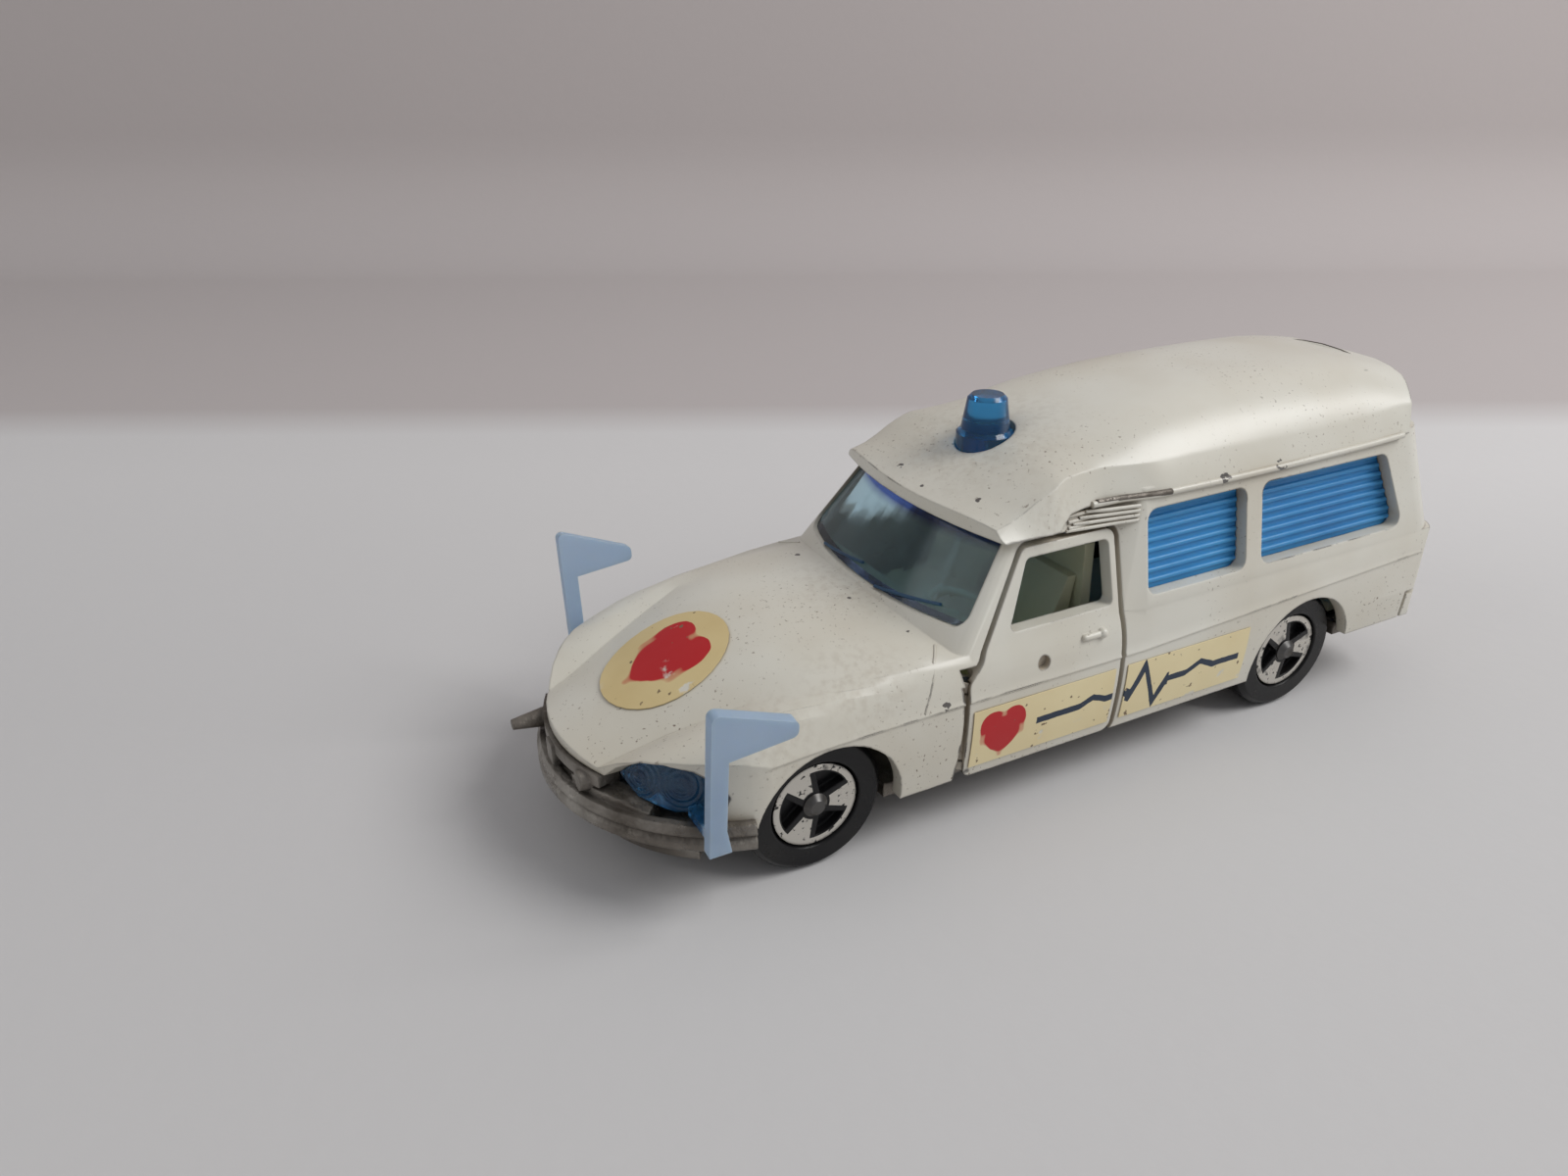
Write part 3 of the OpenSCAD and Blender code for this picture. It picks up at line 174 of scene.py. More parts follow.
def near(tree, place, centre, reach):
    """1 at a place on the car, fading to 0 at its reach, both in millimetres."""
    full_share = 0.3
    return ramp(tree, away_from(tree, place, centre), reach / mm_per_m, full_share * reach / mm_per_m)


def any_of(tree, place, spots):
    """The strongest of several places on the car, each with its reach."""
    most = near(tree, place, *spots[0])
    for centre, reach in spots[1:]:
        most = sums(tree, "MAXIMUM", most, near(tree, place, centre, reach))
    return most


# Places in millimetres, each with its reach: edges rubbed bare, flakes knocked out and stains from handling
rubbed_edges = (((8.8, -5.6, 22.2), 3.0), ((-3.0, -7.6, 22.9), 5.0), ((0, 36, 28), 9.0),
                ((11.9, 4.4, 14.5), 1.5), ((12.9, -13.3, 11.4), 1.6), ((12.5, -31, 9), 3.5))
knocked_flakes = (((8.2, -13.4, 15.0), 0.8), ((12.95, -13.3, 11.4), 0.9), ((2.2, -15.0, 15.6), 0.4),
                  ((-7.3, -14.3, 15.2), 0.6), ((11.2, 13, 23.2), 1.2), ((11.2, 19, 23.2), 1.4),
                  ((6.4, -6.7, 23.4), 0.6), ((-2.8, -7.5, 23.2), 0.7), ((1.2, -8.1, 22.9), 0.6))
handling_stains = (((10.8, -19.4, 14.3), 5.0), ((9.5, -3.0, 22.4), 3.0), ((0, -13.2, 15.6), 7.0),
                   ((11.2, -26, 12), 4.0), ((0, -2, 26), 9.0))
fresh_cream, aged_cream = (0.72, 0.70, 0.62, 1), (0.62, 0.575, 0.475, 1)
grime_brown, speck_brown, dark_metal = (0.27, 0.19, 0.11, 1), (0.2, 0.15, 0.11, 1), (0.13, 0.12, 0.11, 1)
grime_share, handled_share, peel_share = 0.75, 0.24, 0.35
paint_edge_r, paint_crease_reach = 0.00022, 0.0024


def worn_enamel(name):
    material, tree, surface, place = finish_named(name, Coat_Weight=0.2, Coat_Roughness=0.22)
    soft_edge = rounded(tree, paint_edge_r, 6)
    true_edge = add(tree, "NewGeometry").outputs["Normal"]
    bend = add(tree, "VectorMath", [(0, soft_edge), (1, true_edge)], operation="DOT_PRODUCT").outputs["Value"]
    edge = ramp(tree, bend, 0.99, 0.93)
    hollow = add(tree, "AmbientOcclusion", [("Distance", paint_crease_reach)], samples=8).outputs["AO"]
    crease = ramp(tree, hollow, 0.88, 0.35)

    cloud = over_colour(tree, fresh_cream, aged_cream, blotches(tree, place, 75, 0.38, 0.74))
    grime = sums(tree, "MULTIPLY", crease, blotches(tree, place, 130, 0.3, 0.66))
    handled = sums(tree, "MULTIPLY", any_of(tree, place, handling_stains), blotches(tree, place, 1700, 0.44, 0.7, 6))
    dirty = sums(tree, "MAXIMUM", sums(tree, "MULTIPLY", grime, grime_share),
                 sums(tree, "MULTIPLY", handled, handled_share))
    stained = over_colour(tree, cloud, grime_brown, dirty)
    grit = ramp(tree, grain(tree, place, 3600, 2), 0.655, 0.72)
    specks = sums(tree, "MULTIPLY", grit, blotches(tree, place, 90, 0.42, 0.66))
    specked = over_colour(tree, stained, speck_brown, specks)

    edge_bits = sums(tree, "MULTIPLY", edge, blotches(tree, place, 380, 0.5, 0.56))
    bare = sums(tree, "MULTIPLY", any_of(tree, place, rubbed_edges), blotches(tree, place, 700, 0.4, 0.48))
    rubbed = sums(tree, "MAXIMUM", sums(tree, "MULTIPLY", edge_bits, blotches(tree, place, 60, 0.5, 0.6)),
                  sums(tree, "MULTIPLY", edge, bare))
    crumbs = sums(tree, "MULTIPLY", any_of(tree, place, knocked_flakes), grain(tree, place, 1700, 3))
    chips = sums(tree, "MAXIMUM", rubbed, ramp(tree, crumbs, 0.47, 0.5))
    tree.links.new(over_colour(tree, specked, dark_metal, chips), surface.inputs["Base Color"])
    tree.links.new(ramp(tree, chips, 0, 1, 0.0, 0.25), surface.inputs["Metallic"])
    tree.links.new(ramp(tree, sums(tree, "MAXIMUM", dirty, specks), 0, 1, 0.33, 0.62), surface.inputs["Roughness"])

    peel = sums(tree, "MULTIPLY", grain(tree, place, 420, 3), peel_share)
    relief = sums(tree, "SUBTRACT", peel, sums(tree, "ADD", chips, specks))
    skin_bump(tree, surface, relief, 0.3, 0.00006, soft_edge)
    return material


enamel = worn_enamel("cream_enamel")
casting_angle = 24
body = smooth_copy("body_shell", "body_paintwork", casting_angle)
dress(body, enamel)

# Each wedge is rounded about a triangle, so all its points lie at one radius from it, in millimetres
wedge_r, wedge_slack = 0.5, 0.016
wedge_centres = ((10.6, -13.75, 15.15), (11.55, -12.4, 14.35), (10.9, -12.4, 14.15))
bpy.context.view_layer.objects.active = body
bpy.ops.object.mode_set(mode="EDIT")
bpy.ops.mesh.select_mode(type="VERT")
bpy.ops.mesh.select_all(action="DESELECT")
bpy.ops.object.mode_set(mode="OBJECT")
for sign in (1, -1):
    corners = [Vector((sign * x, y, z)) for x, y, z in wedge_centres]
    for point in body.data.vertices:
        spot = point.co * mm_per_m
        reach = (spot - closest_point_on_tri(spot, *corners)).length
        point.select = point.select or abs(reach - wedge_r) < wedge_slack
bpy.ops.object.mode_set(mode="EDIT")
bpy.ops.mesh.dissolve_verts()
bpy.ops.mesh.quads_convert_to_tris(quad_method="BEAUTY", ngon_method="BEAUTY")
bpy.ops.object.mode_set(mode="OBJECT")

# Cast trim on the body: drip rails and ribs above the doors, the lip at the back of the roof, the hood's rear seams.
# All are raised beads of the same casting under the enamel.
# Each is a round bar half sunk in the casting, and the rails and seams follow its surface.
bar_weld_reach = 1e-7
bar_angle = 50


def drawn_bar(name, path, radius, sides=10, tip=1.0):
    """A round bar along points in millimetres, extruded from one circle; tip is the share left at its far end."""
    points = [Vector(p) / mm_per_m for p in path]
    bpy.ops.object.select_all(action="DESELECT")
    way = (points[1] - points[0]).to_track_quat("Z", "Y").to_euler()
    bpy.ops.mesh.primitive_circle_add(vertices=sides, radius=radius / mm_per_m, fill_type="NGON",
                                      location=points[0], rotation=way)
    bar = bpy.context.object
    bar.name = name
    bpy.ops.object.transform_apply(location=True, rotation=True, scale=True)
    bpy.ops.object.mode_set(mode="EDIT")
    bpy.ops.mesh.select_all(action="SELECT")
    for start, end in zip(points, points[1:]):
        bpy.ops.mesh.extrude_region_move(TRANSFORM_OT_translate={"value": end - start})
    bpy.ops.transform.resize(value=(tip, tip, tip))
    bpy.ops.mesh.select_all(action="SELECT")
    bpy.ops.mesh.remove_doubles(threshold=bar_weld_reach)
    bpy.ops.mesh.normals_make_consistent(inside=False)
    bpy.ops.object.mode_set(mode="OBJECT")
    bpy.ops.object.shade_smooth_by_angle(angle=math.radians(bar_angle))
    bar.select_set(False)
    return bar


def paint_bead(name, path, radius, sides=10, tip=1.0):
    bead = drawn_bar(name, path, radius, sides, tip)
    dress(bead, enamel)
    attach(bead, "car_body")


# Lines that look for the casting start clear of the car, in millimetres
beyond_side, beyond_roof, beyond_tail = 30, 40, 60


def first_met(start, way):
    """The point of the body that a line meets first, in millimetres, or one on the middle plane where it misses."""
    start, way = Vector(start), Vector(way)
    found, point, _, _ = body.ray_cast(start / mm_per_m, way)
    return point * mm_per_m if found else start - way * start.dot(way)


def from_side(sign, y, z):
    return first_met((sign * beyond_side, y, z), (-sign, 0, 0))


def from_above(x, y):
    return first_met((x, y, beyond_roof), (0, 0, -1))


rail_r, seam_r, lip_r, rib_r = 0.26, 0.09, 0.42, 0.15
rail_line = ((0.6, 23.0), (3.2, 23.05), (6, 23.05), (13, 23.05), (20, 23.05), (30, 23.2), (33.6, 23.35))
seam_top = ((10.2, -12.6), (10.8, -13.0), (11.3, -13.35), (11.8, -13.75))
seam_side = ((-14.05, 13.75), (-14.3, 13.3), (-14.6, 12.6), (-14.9, 11.9), (-15.1, 11.3))
rib_count, rib_pitch, rib_sides, lowest_rib_z = 4, 0.38, 8, 21.35
# The lowest rib's points, seen from above, each with its step inwards and back to the next rib up
rib_line = (((10.17, -1.6), (-0.05, 0.6)), ((10.6, 2.0), (-0.03, 0)), ((11.0, 4.6), (0, 0)))
lip_y, lip_sweep, lip_z, lip_crown = 35.9, 0.012, 27.95, 0.022
lip_path = [(x, lip_y - lip_sweep * x * x, lip_z - lip_crown * x * x)
            for x in (-6.4, -5.2, -4, -2, 0, 2, 4, 5.2, 6.4)]
for side, sign in (("left", 1), ("right", -1)):
    paint_bead(side + "_drip_rail", [from_side(sign, y, z) for y, z in rail_line], rail_r)
    paint_bead(side + "_hood_seam", [from_above(sign * x, y) for x, y in seam_top]
               + [from_side(sign, y, z) for y, z in seam_side], seam_r)
    for k in range(rib_count):
        z = lowest_rib_z + rib_pitch * k
        rib_path = [(sign * (x + x_step * k), y + y_step * k, z) for (x, y), (x_step, y_step) in rib_line]
        paint_bead(side + "_rib_" + str(k), rib_path, rib_r, rib_sides)
paint_bead("roof_lip", lip_path, lip_r)

# Base casting: raw zinc with the front bumper and the axle saddles, left unpainted and gone grey-brown.
# Its two rivets are the same metal, set flush under the floor and spread in the posts of the body.
# The same bare metal shows along the left drip rail and the roof lip, where the enamel has gone from the body.
zinc_grey, zinc_dark = (0.25, 0.222, 0.19, 1), (0.105, 0.088, 0.07, 1)
zinc_rubbed, zinc_hollow_dark = (0.38, 0.355, 0.315, 1), (0.06, 0.048, 0.036, 1)
zinc_edge_r, zinc_crease_reach, zinc_hollow_share = 0.00025, 0.0014, 0.85


def raw_zinc(name):
    material, tree, surface, place = finish_named(name, Metallic=0.45)
    hollow = add(tree, "AmbientOcclusion", [("Distance", zinc_crease_reach)], samples=8).outputs["AO"]
    crease = ramp(tree, hollow, 0.85, 0.3)
    cast = over_colour(tree, zinc_grey, zinc_dark, blotches(tree, place, 240, 0.36, 0.64, 6))
    rubbed = over_colour(tree, cast, zinc_rubbed, blotches(tree, place, 90, 0.56, 0.72))
    # The base is painted darker in its hollows, near black.
    hollows_darkened = over_colour(tree, rubbed, zinc_hollow_dark, sums(tree, "MULTIPLY", crease, zinc_hollow_share))
    tree.links.new(hollows_darkened, surface.inputs["Base Color"])
    tree.links.new(blotches(tree, place, 500, 0.2, 0.9), surface.inputs["Roughness"])
    skin_bump(tree, surface, grain(tree, place, 620, 6), 0.9, 0.0006, rounded(tree, zinc_edge_r, 6))
    return material


zinc = raw_zinc("raw_zinc")
smooth_angle = 30
dress(smooth_copy("base_plate", "base_casting", smooth_angle), zinc)
dress(smooth_copy("base_rivets", "base_rivet_heads", smooth_angle), zinc)
bare_rail_r, bare_rail_up, bare_rail_off = 0.24, 0.05, Vector((0.05, 0, 0.04))
bare_lip_r, bare_lip_back, bare_lip_up = 0.1, 0.03, 0.36
bare_rail_line = ((1.0, 23.01), (3.2, 23.05), (6, 23.05), (7.4, 23.05))
bare_rail_path = [from_side(1, y, z + bare_rail_up) + bare_rail_off for y, z in bare_rail_line]
bare_lip_path = [(x, y + bare_lip_back, z + bare_lip_up) for x, y, z in lip_path[1:-1]]
for name, path, radius in (("bare_rail", bare_rail_path, bare_rail_r), ("bare_lip", bare_lip_path, bare_lip_r)):
    bare = drawn_bar(name, path, radius)
    dress(bare, zinc)
    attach(bare, "car_body")

# Interior: one plastic moulding with the seats, the dash and the steering wheel, pale grey-green.
# It lies on the posts of the base and is held down by the body.
seat_pale, seat_dull = (0.62, 0.62, 0.44, 1), (0.52, 0.52, 0.35, 1)
seat_edge_r = 0.00018


def moulded_plastic(name, colour, dull):
    material, tree, surface, place = finish_named(name)
    hue = over_colour(tree, colour, dull, blotches(tree, place, 150, 0.35, 0.75))
    tree.links.new(hue, surface.inputs["Base Color"])
    tree.links.new(ramp(tree, blotches(tree, place, 350, 0.3, 0.8, 6), 0, 1, 0.39, 0.63), surface.inputs["Roughness"])
    skin_bump(tree, surface, grain(tree, place, 1200, 2), 0.12, 0.0001, rounded(tree, seat_edge_r, 4))
    return material


seat_plastic = moulded_plastic("grey_green_plastic", seat_pale, seat_dull)
dress(smooth_copy("interior", "interior_moulding", smooth_angle), seat_plastic)

# Windows: clear blue plastic, one moulding for the windscreen, one on each side with louvre ribs, one in the tailgate.
# They press against the inside of the body and show dust and fine scratches.
# A hair of room round each keeps its faces off the faces that it presses against.
clear_ior = 1.49
scratch_turn, scratch_stretch = (0.4, 0.9, 0.3), (1, 14, 1)
screen_pale, screen_deep, screen_band = (0.54, 0.78, 0.89, 1), (0.46, 0.7, 0.82, 1), (0.01, 0.03, 0.28, 1)
screen_top, screen_band_width = 0.0211, 0.0006
window_pale, window_deep = (0.075, 0.46, 0.9, 1), (0.045, 0.32, 0.72, 1)
window_room = 0.00002


def blue_plastic(name, colour, deep, clear, roughness, top=None):
    """Dusty see-through plastic, with a dark blue band along its top edge where that height is given."""
    material, tree, surface, place = finish_named(name, IOR=clear_ior, Transmission_Weight=clear)
    hue = over_colour(tree, colour, deep, blotches(tree, place, 120, 0.3, 0.8))
    if top is not None:
        height = add(tree, "SeparateXYZ", [(0, place)]).outputs["Z"]
        hue = over_colour(tree, hue, screen_band, ramp(tree, height, top - screen_band_width, top))
    tree.links.new(hue, surface.inputs["Base Color"])
    dust = blotches(tree, place, 420, 0.4, 0.72, 6)
    tree.links.new(ramp(tree, dust, 0, 1, roughness, roughness + 0.22), surface.inputs["Roughness"])
    drawn_out = add(tree, "Mapping", [("Vector", place), ("Rotation", scratch_turn), ("Scale", scratch_stretch)])
    scratches = blotches(tree, drawn_out.outputs[0], 260, 0.62, 0.68, 3)
    skin_bump(tree, surface, sums(tree, "ADD", scratches, sums(tree, "MULTIPLY", dust, 0.5)), 0.03, 0.00005)
    return material


screen_blue = blue_plastic("screen_blue", screen_pale, screen_deep, clear=0.98, roughness=0.04, top=screen_top)
dress(smooth_copy("windscreen", "windscreen_moulding", smooth_angle, window_room), screen_blue)
window_blue = blue_plastic("window_blue", window_pale, window_deep, clear=0.42, roughness=0.38)
for node, name in (("left_side_glass", "left_window_moulding"), ("right_side_glass", "right_window_moulding"),
                   ("tailgate_glass", "tailgate_window_moulding")):
    dress(smooth_copy(node, name, smooth_angle, window_room), window_blue)

# Wipers: two thin blades, moulded on the foot of the windscreen in the same plastic, a darker blue.
# Each is a round bar bent along the curve of the screen.
wiper_pale, wiper_deep = (0.03, 0.11, 0.22, 1), (0.02, 0.07, 0.15, 1)
wiper_r, wiper_sides, wiper_steps = 0.13, 8, 8
belt_x, belt_z, side_lean = 12.1, 14.5, 0.273
screen_foot_y, screen_foot_z, screen_rake, screen_sweep, sweep_power = -13.25, 15.65, 0.746, 2.4, 2.2
wiper_off_y, wiper_off_z = 0.22, 0.12


def on_screen(x, z):
    """A point on the outside of the windscreen, in millimetres."""
    half = belt_x - side_lean * (z - belt_z)
    swept = screen_sweep * abs(x / half) ** sweep_power
    return (x, screen_foot_y + screen_rake * (z - screen_foot_z) + swept + wiper_off_y, z + wiper_off_z)


shares = [k / wiper_steps for k in range(wiper_steps + 1)]
wiper_blue = blue_plastic("wiper_blue", wiper_pale, wiper_deep, clear=0.3, roughness=0.3)
for name, (foot_x, foot_z), (tip_x, tip_z) in (("left_wiper", (2.2, 15.95), (8.4, 16.75)),
                                               ("right_wiper", (-6.6, 15.95), (-0.4, 16.75))):
    blade = drawn_bar(name, [on_screen(foot_x + (tip_x - foot_x) * k, foot_z + (tip_z - foot_z) * k)
                             for k in shares], wiper_r, wiper_sides)
    dress(blade, wiper_blue)
    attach(blade, "car_body")

# Beacon: a clear blue cup moulded with a stepped foot, in the same plastic as the windows.
# It is pressed into the hole in the roof.
beacon_pale, beacon_deep = (0.07, 0.42, 0.86, 1), (0.04, 0.3, 0.7, 1)
beacon_blue = blue_plastic("beacon_blue", beacon_pale, beacon_deep, clear=0.92, roughness=0.05)
dress(smooth_copy("beacon_lens", "beacon_cup", smooth_angle), beacon_blue)

# Lamps and flags: one blue moulding each side, with the lamp lens, the pole and the pennant.
# The lens has fine rings round two bulbs; the pole and the pennant stand clear of the car and look milky.
lens_pale, lens_deep = (0.1, 0.36, 0.66, 1), (0.03, 0.17, 0.4, 1)
milk_pale, milk_deep = (0.54, 0.67, 0.82, 1), (0.44, 0.58, 0.75, 1)
flag_start, flag_full = 0.0126, 0.0132
bulbs = ((7.9, -34.6, 9.2), (10.3, -32.6, 9.2))
ring_waves, ring_reach, ring_full = 16000, 0.0019, 0.0016


def lamp_plastic(name, sign):
    material, tree, surface, place = finish_named(name, IOR=clear_ior, Subsurface_Radius=(0.6, 0.8, 1.0),
                                                  Subsurface_Scale=0.001)
    outward = sums(tree, "MULTIPLY", add(tree, "SeparateXYZ", [(0, place)]).outputs["X"], sign)
    flag = ramp(tree, outward, flag_start, flag_full)
    lens = over_colour(tree, lens_pale, lens_deep, blotches(tree, place, 420, 0.42, 0.62))
    milk = over_colour(tree, milk_pale, milk_deep, blotches(tree, place, 160, 0.3, 0.8))
    tree.links.new(over_colour(tree, lens, milk, flag), surface.inputs["Base Color"])
    for socket, in_lens, in_flag in (("Transmission Weight", 0.85, 0.42), ("Subsurface Weight", 0.0, 0.5),
                                     ("Roughness", 0.06, 0.5)):
        tree.links.new(ramp(tree, flag, 0, 1, in_lens, in_flag), surface.inputs[socket])
    rings = 0
    for x, y, z in bulbs:
        away = away_from(tree, place, (sign * x, y, z))
        wave = sums(tree, "SINE", sums(tree, "MULTIPLY", away, ring_waves))
        rings = sums(tree, "ADD", rings, sums(tree, "MULTIPLY", wave, ramp(tree, away, ring_reach, ring_full)))
    skin_bump(tree, surface, sums(tree, "MULTIPLY", rings, ramp(tree, flag, 0, 1, 1, 0)), 0.35, 0.0001)
    return material


for side, sign in (("left", 1), ("right", -1)):
    lamp_blue = lamp_plastic(side + "_lamp_blue", sign)
    dress(smooth_copy(side + "_lamp_flag", side + "_lamp_and_flag", smooth_angle), lamp_blue)

# Doors and tailgate: small zinc castings in the same enamel as the body.
# The doors turn on upright steel pins at their front edges, the tailgate on one under the roof lip.
for node in ("left_door", "right_door", "tailgate"):
    dress(smooth_copy(node, node + "_casting", casting_angle), enamel)

# Tail trim: two cast lamp studs at each corner of the tail, under the same enamel.
# They are part of the body casting; each sits where a line from behind meets it.
stud_x, stud_zs, stud_r, stud_sides, stud_tip = 10.6, (11.2, 13.3), 0.85, 20, 0.75
stud_sunk, stud_out, stud_dome, tail_room = 0.6, 0.45, 0.2, 0.02
tail_reach = cad_box[1][1] * mm_per_m
for side, sign in (("left", 1), ("right", -1)):
    for k, z in enumerate(stud_zs):
        seat = first_met((sign * stud_x, beyond_tail, z), (0, -1, 0))
        stud_end = min(seat.y + stud_out, tail_reach - tail_room)
        stud_path = [(seat.x, y, z) for y in (seat.y - stud_sunk, stud_end - stud_dome, stud_end)]
        paint_bead(side + "_tail_stud_" + str(k), stud_path, stud_r, stud_sides, stud_tip)

# Axles, springs and hinge pins: drawn steel wire and strip, grey with a little rust.
# The axles run in the saddles of the base under the leaf springs, and the pins sit in the body.
steel_grey, steel_rust = (0.12, 0.117, 0.113, 1), (0.05, 0.038, 0.028, 1)


def dull_steel(name):
    material, tree, surface, place = finish_named(name, Metallic=0.8)
    hue = over_colour(tree, steel_grey, steel_rust, blotches(tree, place, 500, 0.5, 0.75))
    tree.links.new(hue, surface.inputs["Base Color"])
    tree.links.new(ramp(tree, blotches(tree, place, 800, 0.3, 0.7), 0, 1, 0.28, 0.5), surface.inputs["Roughness"])
    return material


steel = dull_steel("dull_steel")
for node in ("front_axle", "rear_axle", "front_spring", "rear_spring",
             "left_door_pin", "right_door_pin", "tailgate_pin"):
    dress(smooth_copy(node, node + "_steel", smooth_angle), steel)

# Wheels: one black plastic moulding each, with the tyre and the spokes in one piece, pressed on the axle.
# A silver foil is hot-stamped on the ring and the three spokes and has worn at its edges.
wheel_black, wheel_dusty, foil_silver = (0.006, 0.006, 0.007, 1), (0.016, 0.015, 0.014, 1), (0.66, 0.63, 0.57, 1)
axle_z, foil_face_x = 0.00538, 0.01145
foil_in_r, foil_ring_r, foil_out_r = 0.00118, 0.00282, 0.00331
spoke_count, spoke_cut, tyre_edge_r = 3, 0.46, 0.00025


def stamped_wheel(name, axle_y):
    material, tree, surface, place = finish_named(name, Specular_IOR_Level=0.32)
    at = add(tree, "SeparateXYZ", [(0, place)]).outputs
    back = sums(tree, "SUBTRACT", at["Y"], axle_y / mm_per_m)
    up = sums(tree, "SUBTRACT", at["Z"], axle_z)
    flat = add(tree, "CombineXYZ", [("Y", back), ("Z", up)]).outputs[0]
    radius = add(tree, "VectorMath", [(0, flat)], operation="LENGTH").outputs["Value"]
    face = sums(tree, "GREATER_THAN", sums(tree, "ABSOLUTE", at["X"]), foil_face_x)
    band = sums(tree, "MULTIPLY", sums(tree, "LESS_THAN", radius, foil_out_r),
                sums(tree, "GREATER_THAN", radius, foil_in_r))
    turn = sums(tree, "MULTIPLY", sums(tree, "ARCTAN2", up, back), spoke_count)
    spokes = sums(tree, "GREATER_THAN", sums(tree, "COSINE", turn), spoke_cut)
    ring = sums(tree, "GREATER_THAN", radius, foil_ring_r)
    stamped = sums(tree, "MULTIPLY", band, sums(tree, "MAXIMUM", spokes, ring))
    left_over = sums(tree, "MINIMUM", blotches(tree, place, 2200, 0.66, 0.6, 3), blotches(tree, place, 420, 0.7, 0.6))
    foil = sums(tree, "MULTIPLY", sums(tree, "MULTIPLY", face, stamped), left_over)
    black = over_colour(tree, wheel_black, wheel_dusty, blotches(tree, place, 200, 0.4, 0.8))
    tree.links.new(over_colour(tree, black, foil_silver, foil), surface.inputs["Base Color"])
    tree.links.new(sums(tree, "MULTIPLY", foil, 0.75), surface.inputs["Metallic"])
    tree.links.new(ramp(tree, blotches(tree, place, 300, 0.3, 0.75, 6), 0, 1, 0.22, 0.42), surface.inputs["Roughness"])
    skin_bump(tree, surface, grain(tree, place, 900, 3), 0.12, 0.0001, rounded(tree, tyre_edge_r, 4))
    return material


for end, axle_y in (("front", -22.95), ("rear", 23.85)):
    wheel_plastic = stamped_wheel(end + "_wheel_black", axle_y)
    for side in ("left", "right"):
        node = end + "_" + side + "_wheel"
        dress(smooth_copy(node, node + "_moulding", smooth_angle), wheel_plastic)

# Labels: printed paper stuck to the hood and the sides, yellowed, with rubbed edges.
# The round one has a red heart; the long ones have a small red heart at the front and a dark blue pulse line.
red_ink, navy_ink = (0.5, 0.012, 0.016, 1), (0.014, 0.03, 0.06, 1)
paper_under, paper_speck = (0.7, 0.67, 0.58, 1), (0.2, 0.14, 0.08, 1)
# One paper in two copies: the hood label's is painted darker, as painted shade, and the side labels' lighter, as
# painted light.
hood_fresh_shaded, hood_aged_shaded = (0.73, 0.59, 0.31, 1), (0.62, 0.47, 0.22, 1)
side_fresh_lit, side_aged_lit = (0.84, 0.73, 0.45, 1), (0.76, 0.63, 0.36, 1)
print_wobble = 0.00018


def heart(tree, across, up, size):
    """1 inside a heart of that half width in metres, 0 outside it."""
    x = sums(tree, "DIVIDE", across, size)
    y = sums(tree, "DIVIDE", up, size)
    x_square = sums(tree, "MULTIPLY", x, x)
    y_square = sums(tree, "MULTIPLY", y, y)
    disc = sums(tree, "SUBTRACT", sums(tree, "ADD", x_square, y_square), 1)
    disc_cube = sums(tree, "MULTIPLY", sums(tree, "MULTIPLY", disc, disc), disc)
    lobes = sums(tree, "MULTIPLY", x_square, sums(tree, "MULTIPLY", y_square, y))
    return ramp(tree, sums(tree, "SUBTRACT", disc_cube, lobes), 0.02, -0.02)


def printed_paper(name, draw, fresh, aged):
    material, tree, surface, place = finish_named(name)
    paper = over_colour(tree, fresh, aged, blotches(tree, place, 140, 0.3, 0.75))
    noise = add(tree, "TexNoise", [("Vector", place), ("Scale", 900), ("Detail", 3)]).outputs["Color"]
    shift = add(tree, "VectorMath", [(0, noise), (1, (0.5, 0.5, 0.5))], operation="SUBTRACT").outputs[0]
    shift = add(tree, "VectorMath", [(0, shift), ("Scale", print_wobble)], operation="SCALE").outputs[0]
    moved = add(tree, "VectorMath", [(0, place), (1, shift)], operation="ADD").outputs[0]
    inked = draw(tree, paper, add(tree, "SeparateXYZ", [(0, moved)]).outputs)
    lost = sums(tree, "MULTIPLY", blotches(tree, place, 330, 0.63, 0.66, 5), blotches(tree, place, 90, 0.45, 0.55))
    worn = over_colour(tree, inked, paper_under, lost)
    specked = over_colour(tree, worn, paper_speck, blotches(tree, place, 1500, 0.7, 0.74, 2))
    tree.links.new(specked, surface.inputs["Base Color"])
    tree.links.new(ramp(tree, blotches(tree, place, 300, 0.3, 0.8), 0, 1, 0.4, 0.62), surface.inputs["Roughness"])
    skin_bump(tree, surface, sums(tree, "SUBTRACT", 1, lost), 0.3, 0.00005)
    return material


hood_heart_y, hood_heart_size = -0.0296, 0.0027
side_print_z, side_heart_y, side_heart_drop, side_heart_size = 0.00775, -0.0081, 0.0002, 0.0018
pulse_start, pulse_end, pulse_height, pulse_half, pulse_steep_half = -0.0050, 0.0160, 0.0021, 0.00028, 0.0006
pulse_steep_from, pulse_steep_to, pulse_margin = 0.42, 0.63, 0.002
pulse_knots = ((0, 0.5), (0.2, 0.5), (0.26, 0.62), (0.32, 0.5), (0.4, 0.5), (0.44, 0.38), (0.5, 0.96), (0.57, 0.05),
               (0.62, 0.5), (0.72, 0.5), (0.79, 0.66), (0.86, 0.5), (1, 0.5))


def hood_print(tree, paper, at):
    up = sums(tree, "SUBTRACT", at["Y"], hood_heart_y)
    return over_colour(tree, paper, red_ink, heart(tree, at["X"], up, hood_heart_size))


def between(tree, value, low, high):
    return sums(tree, "MULTIPLY", sums(tree, "GREATER_THAN", value, low), sums(tree, "LESS_THAN", value, high))


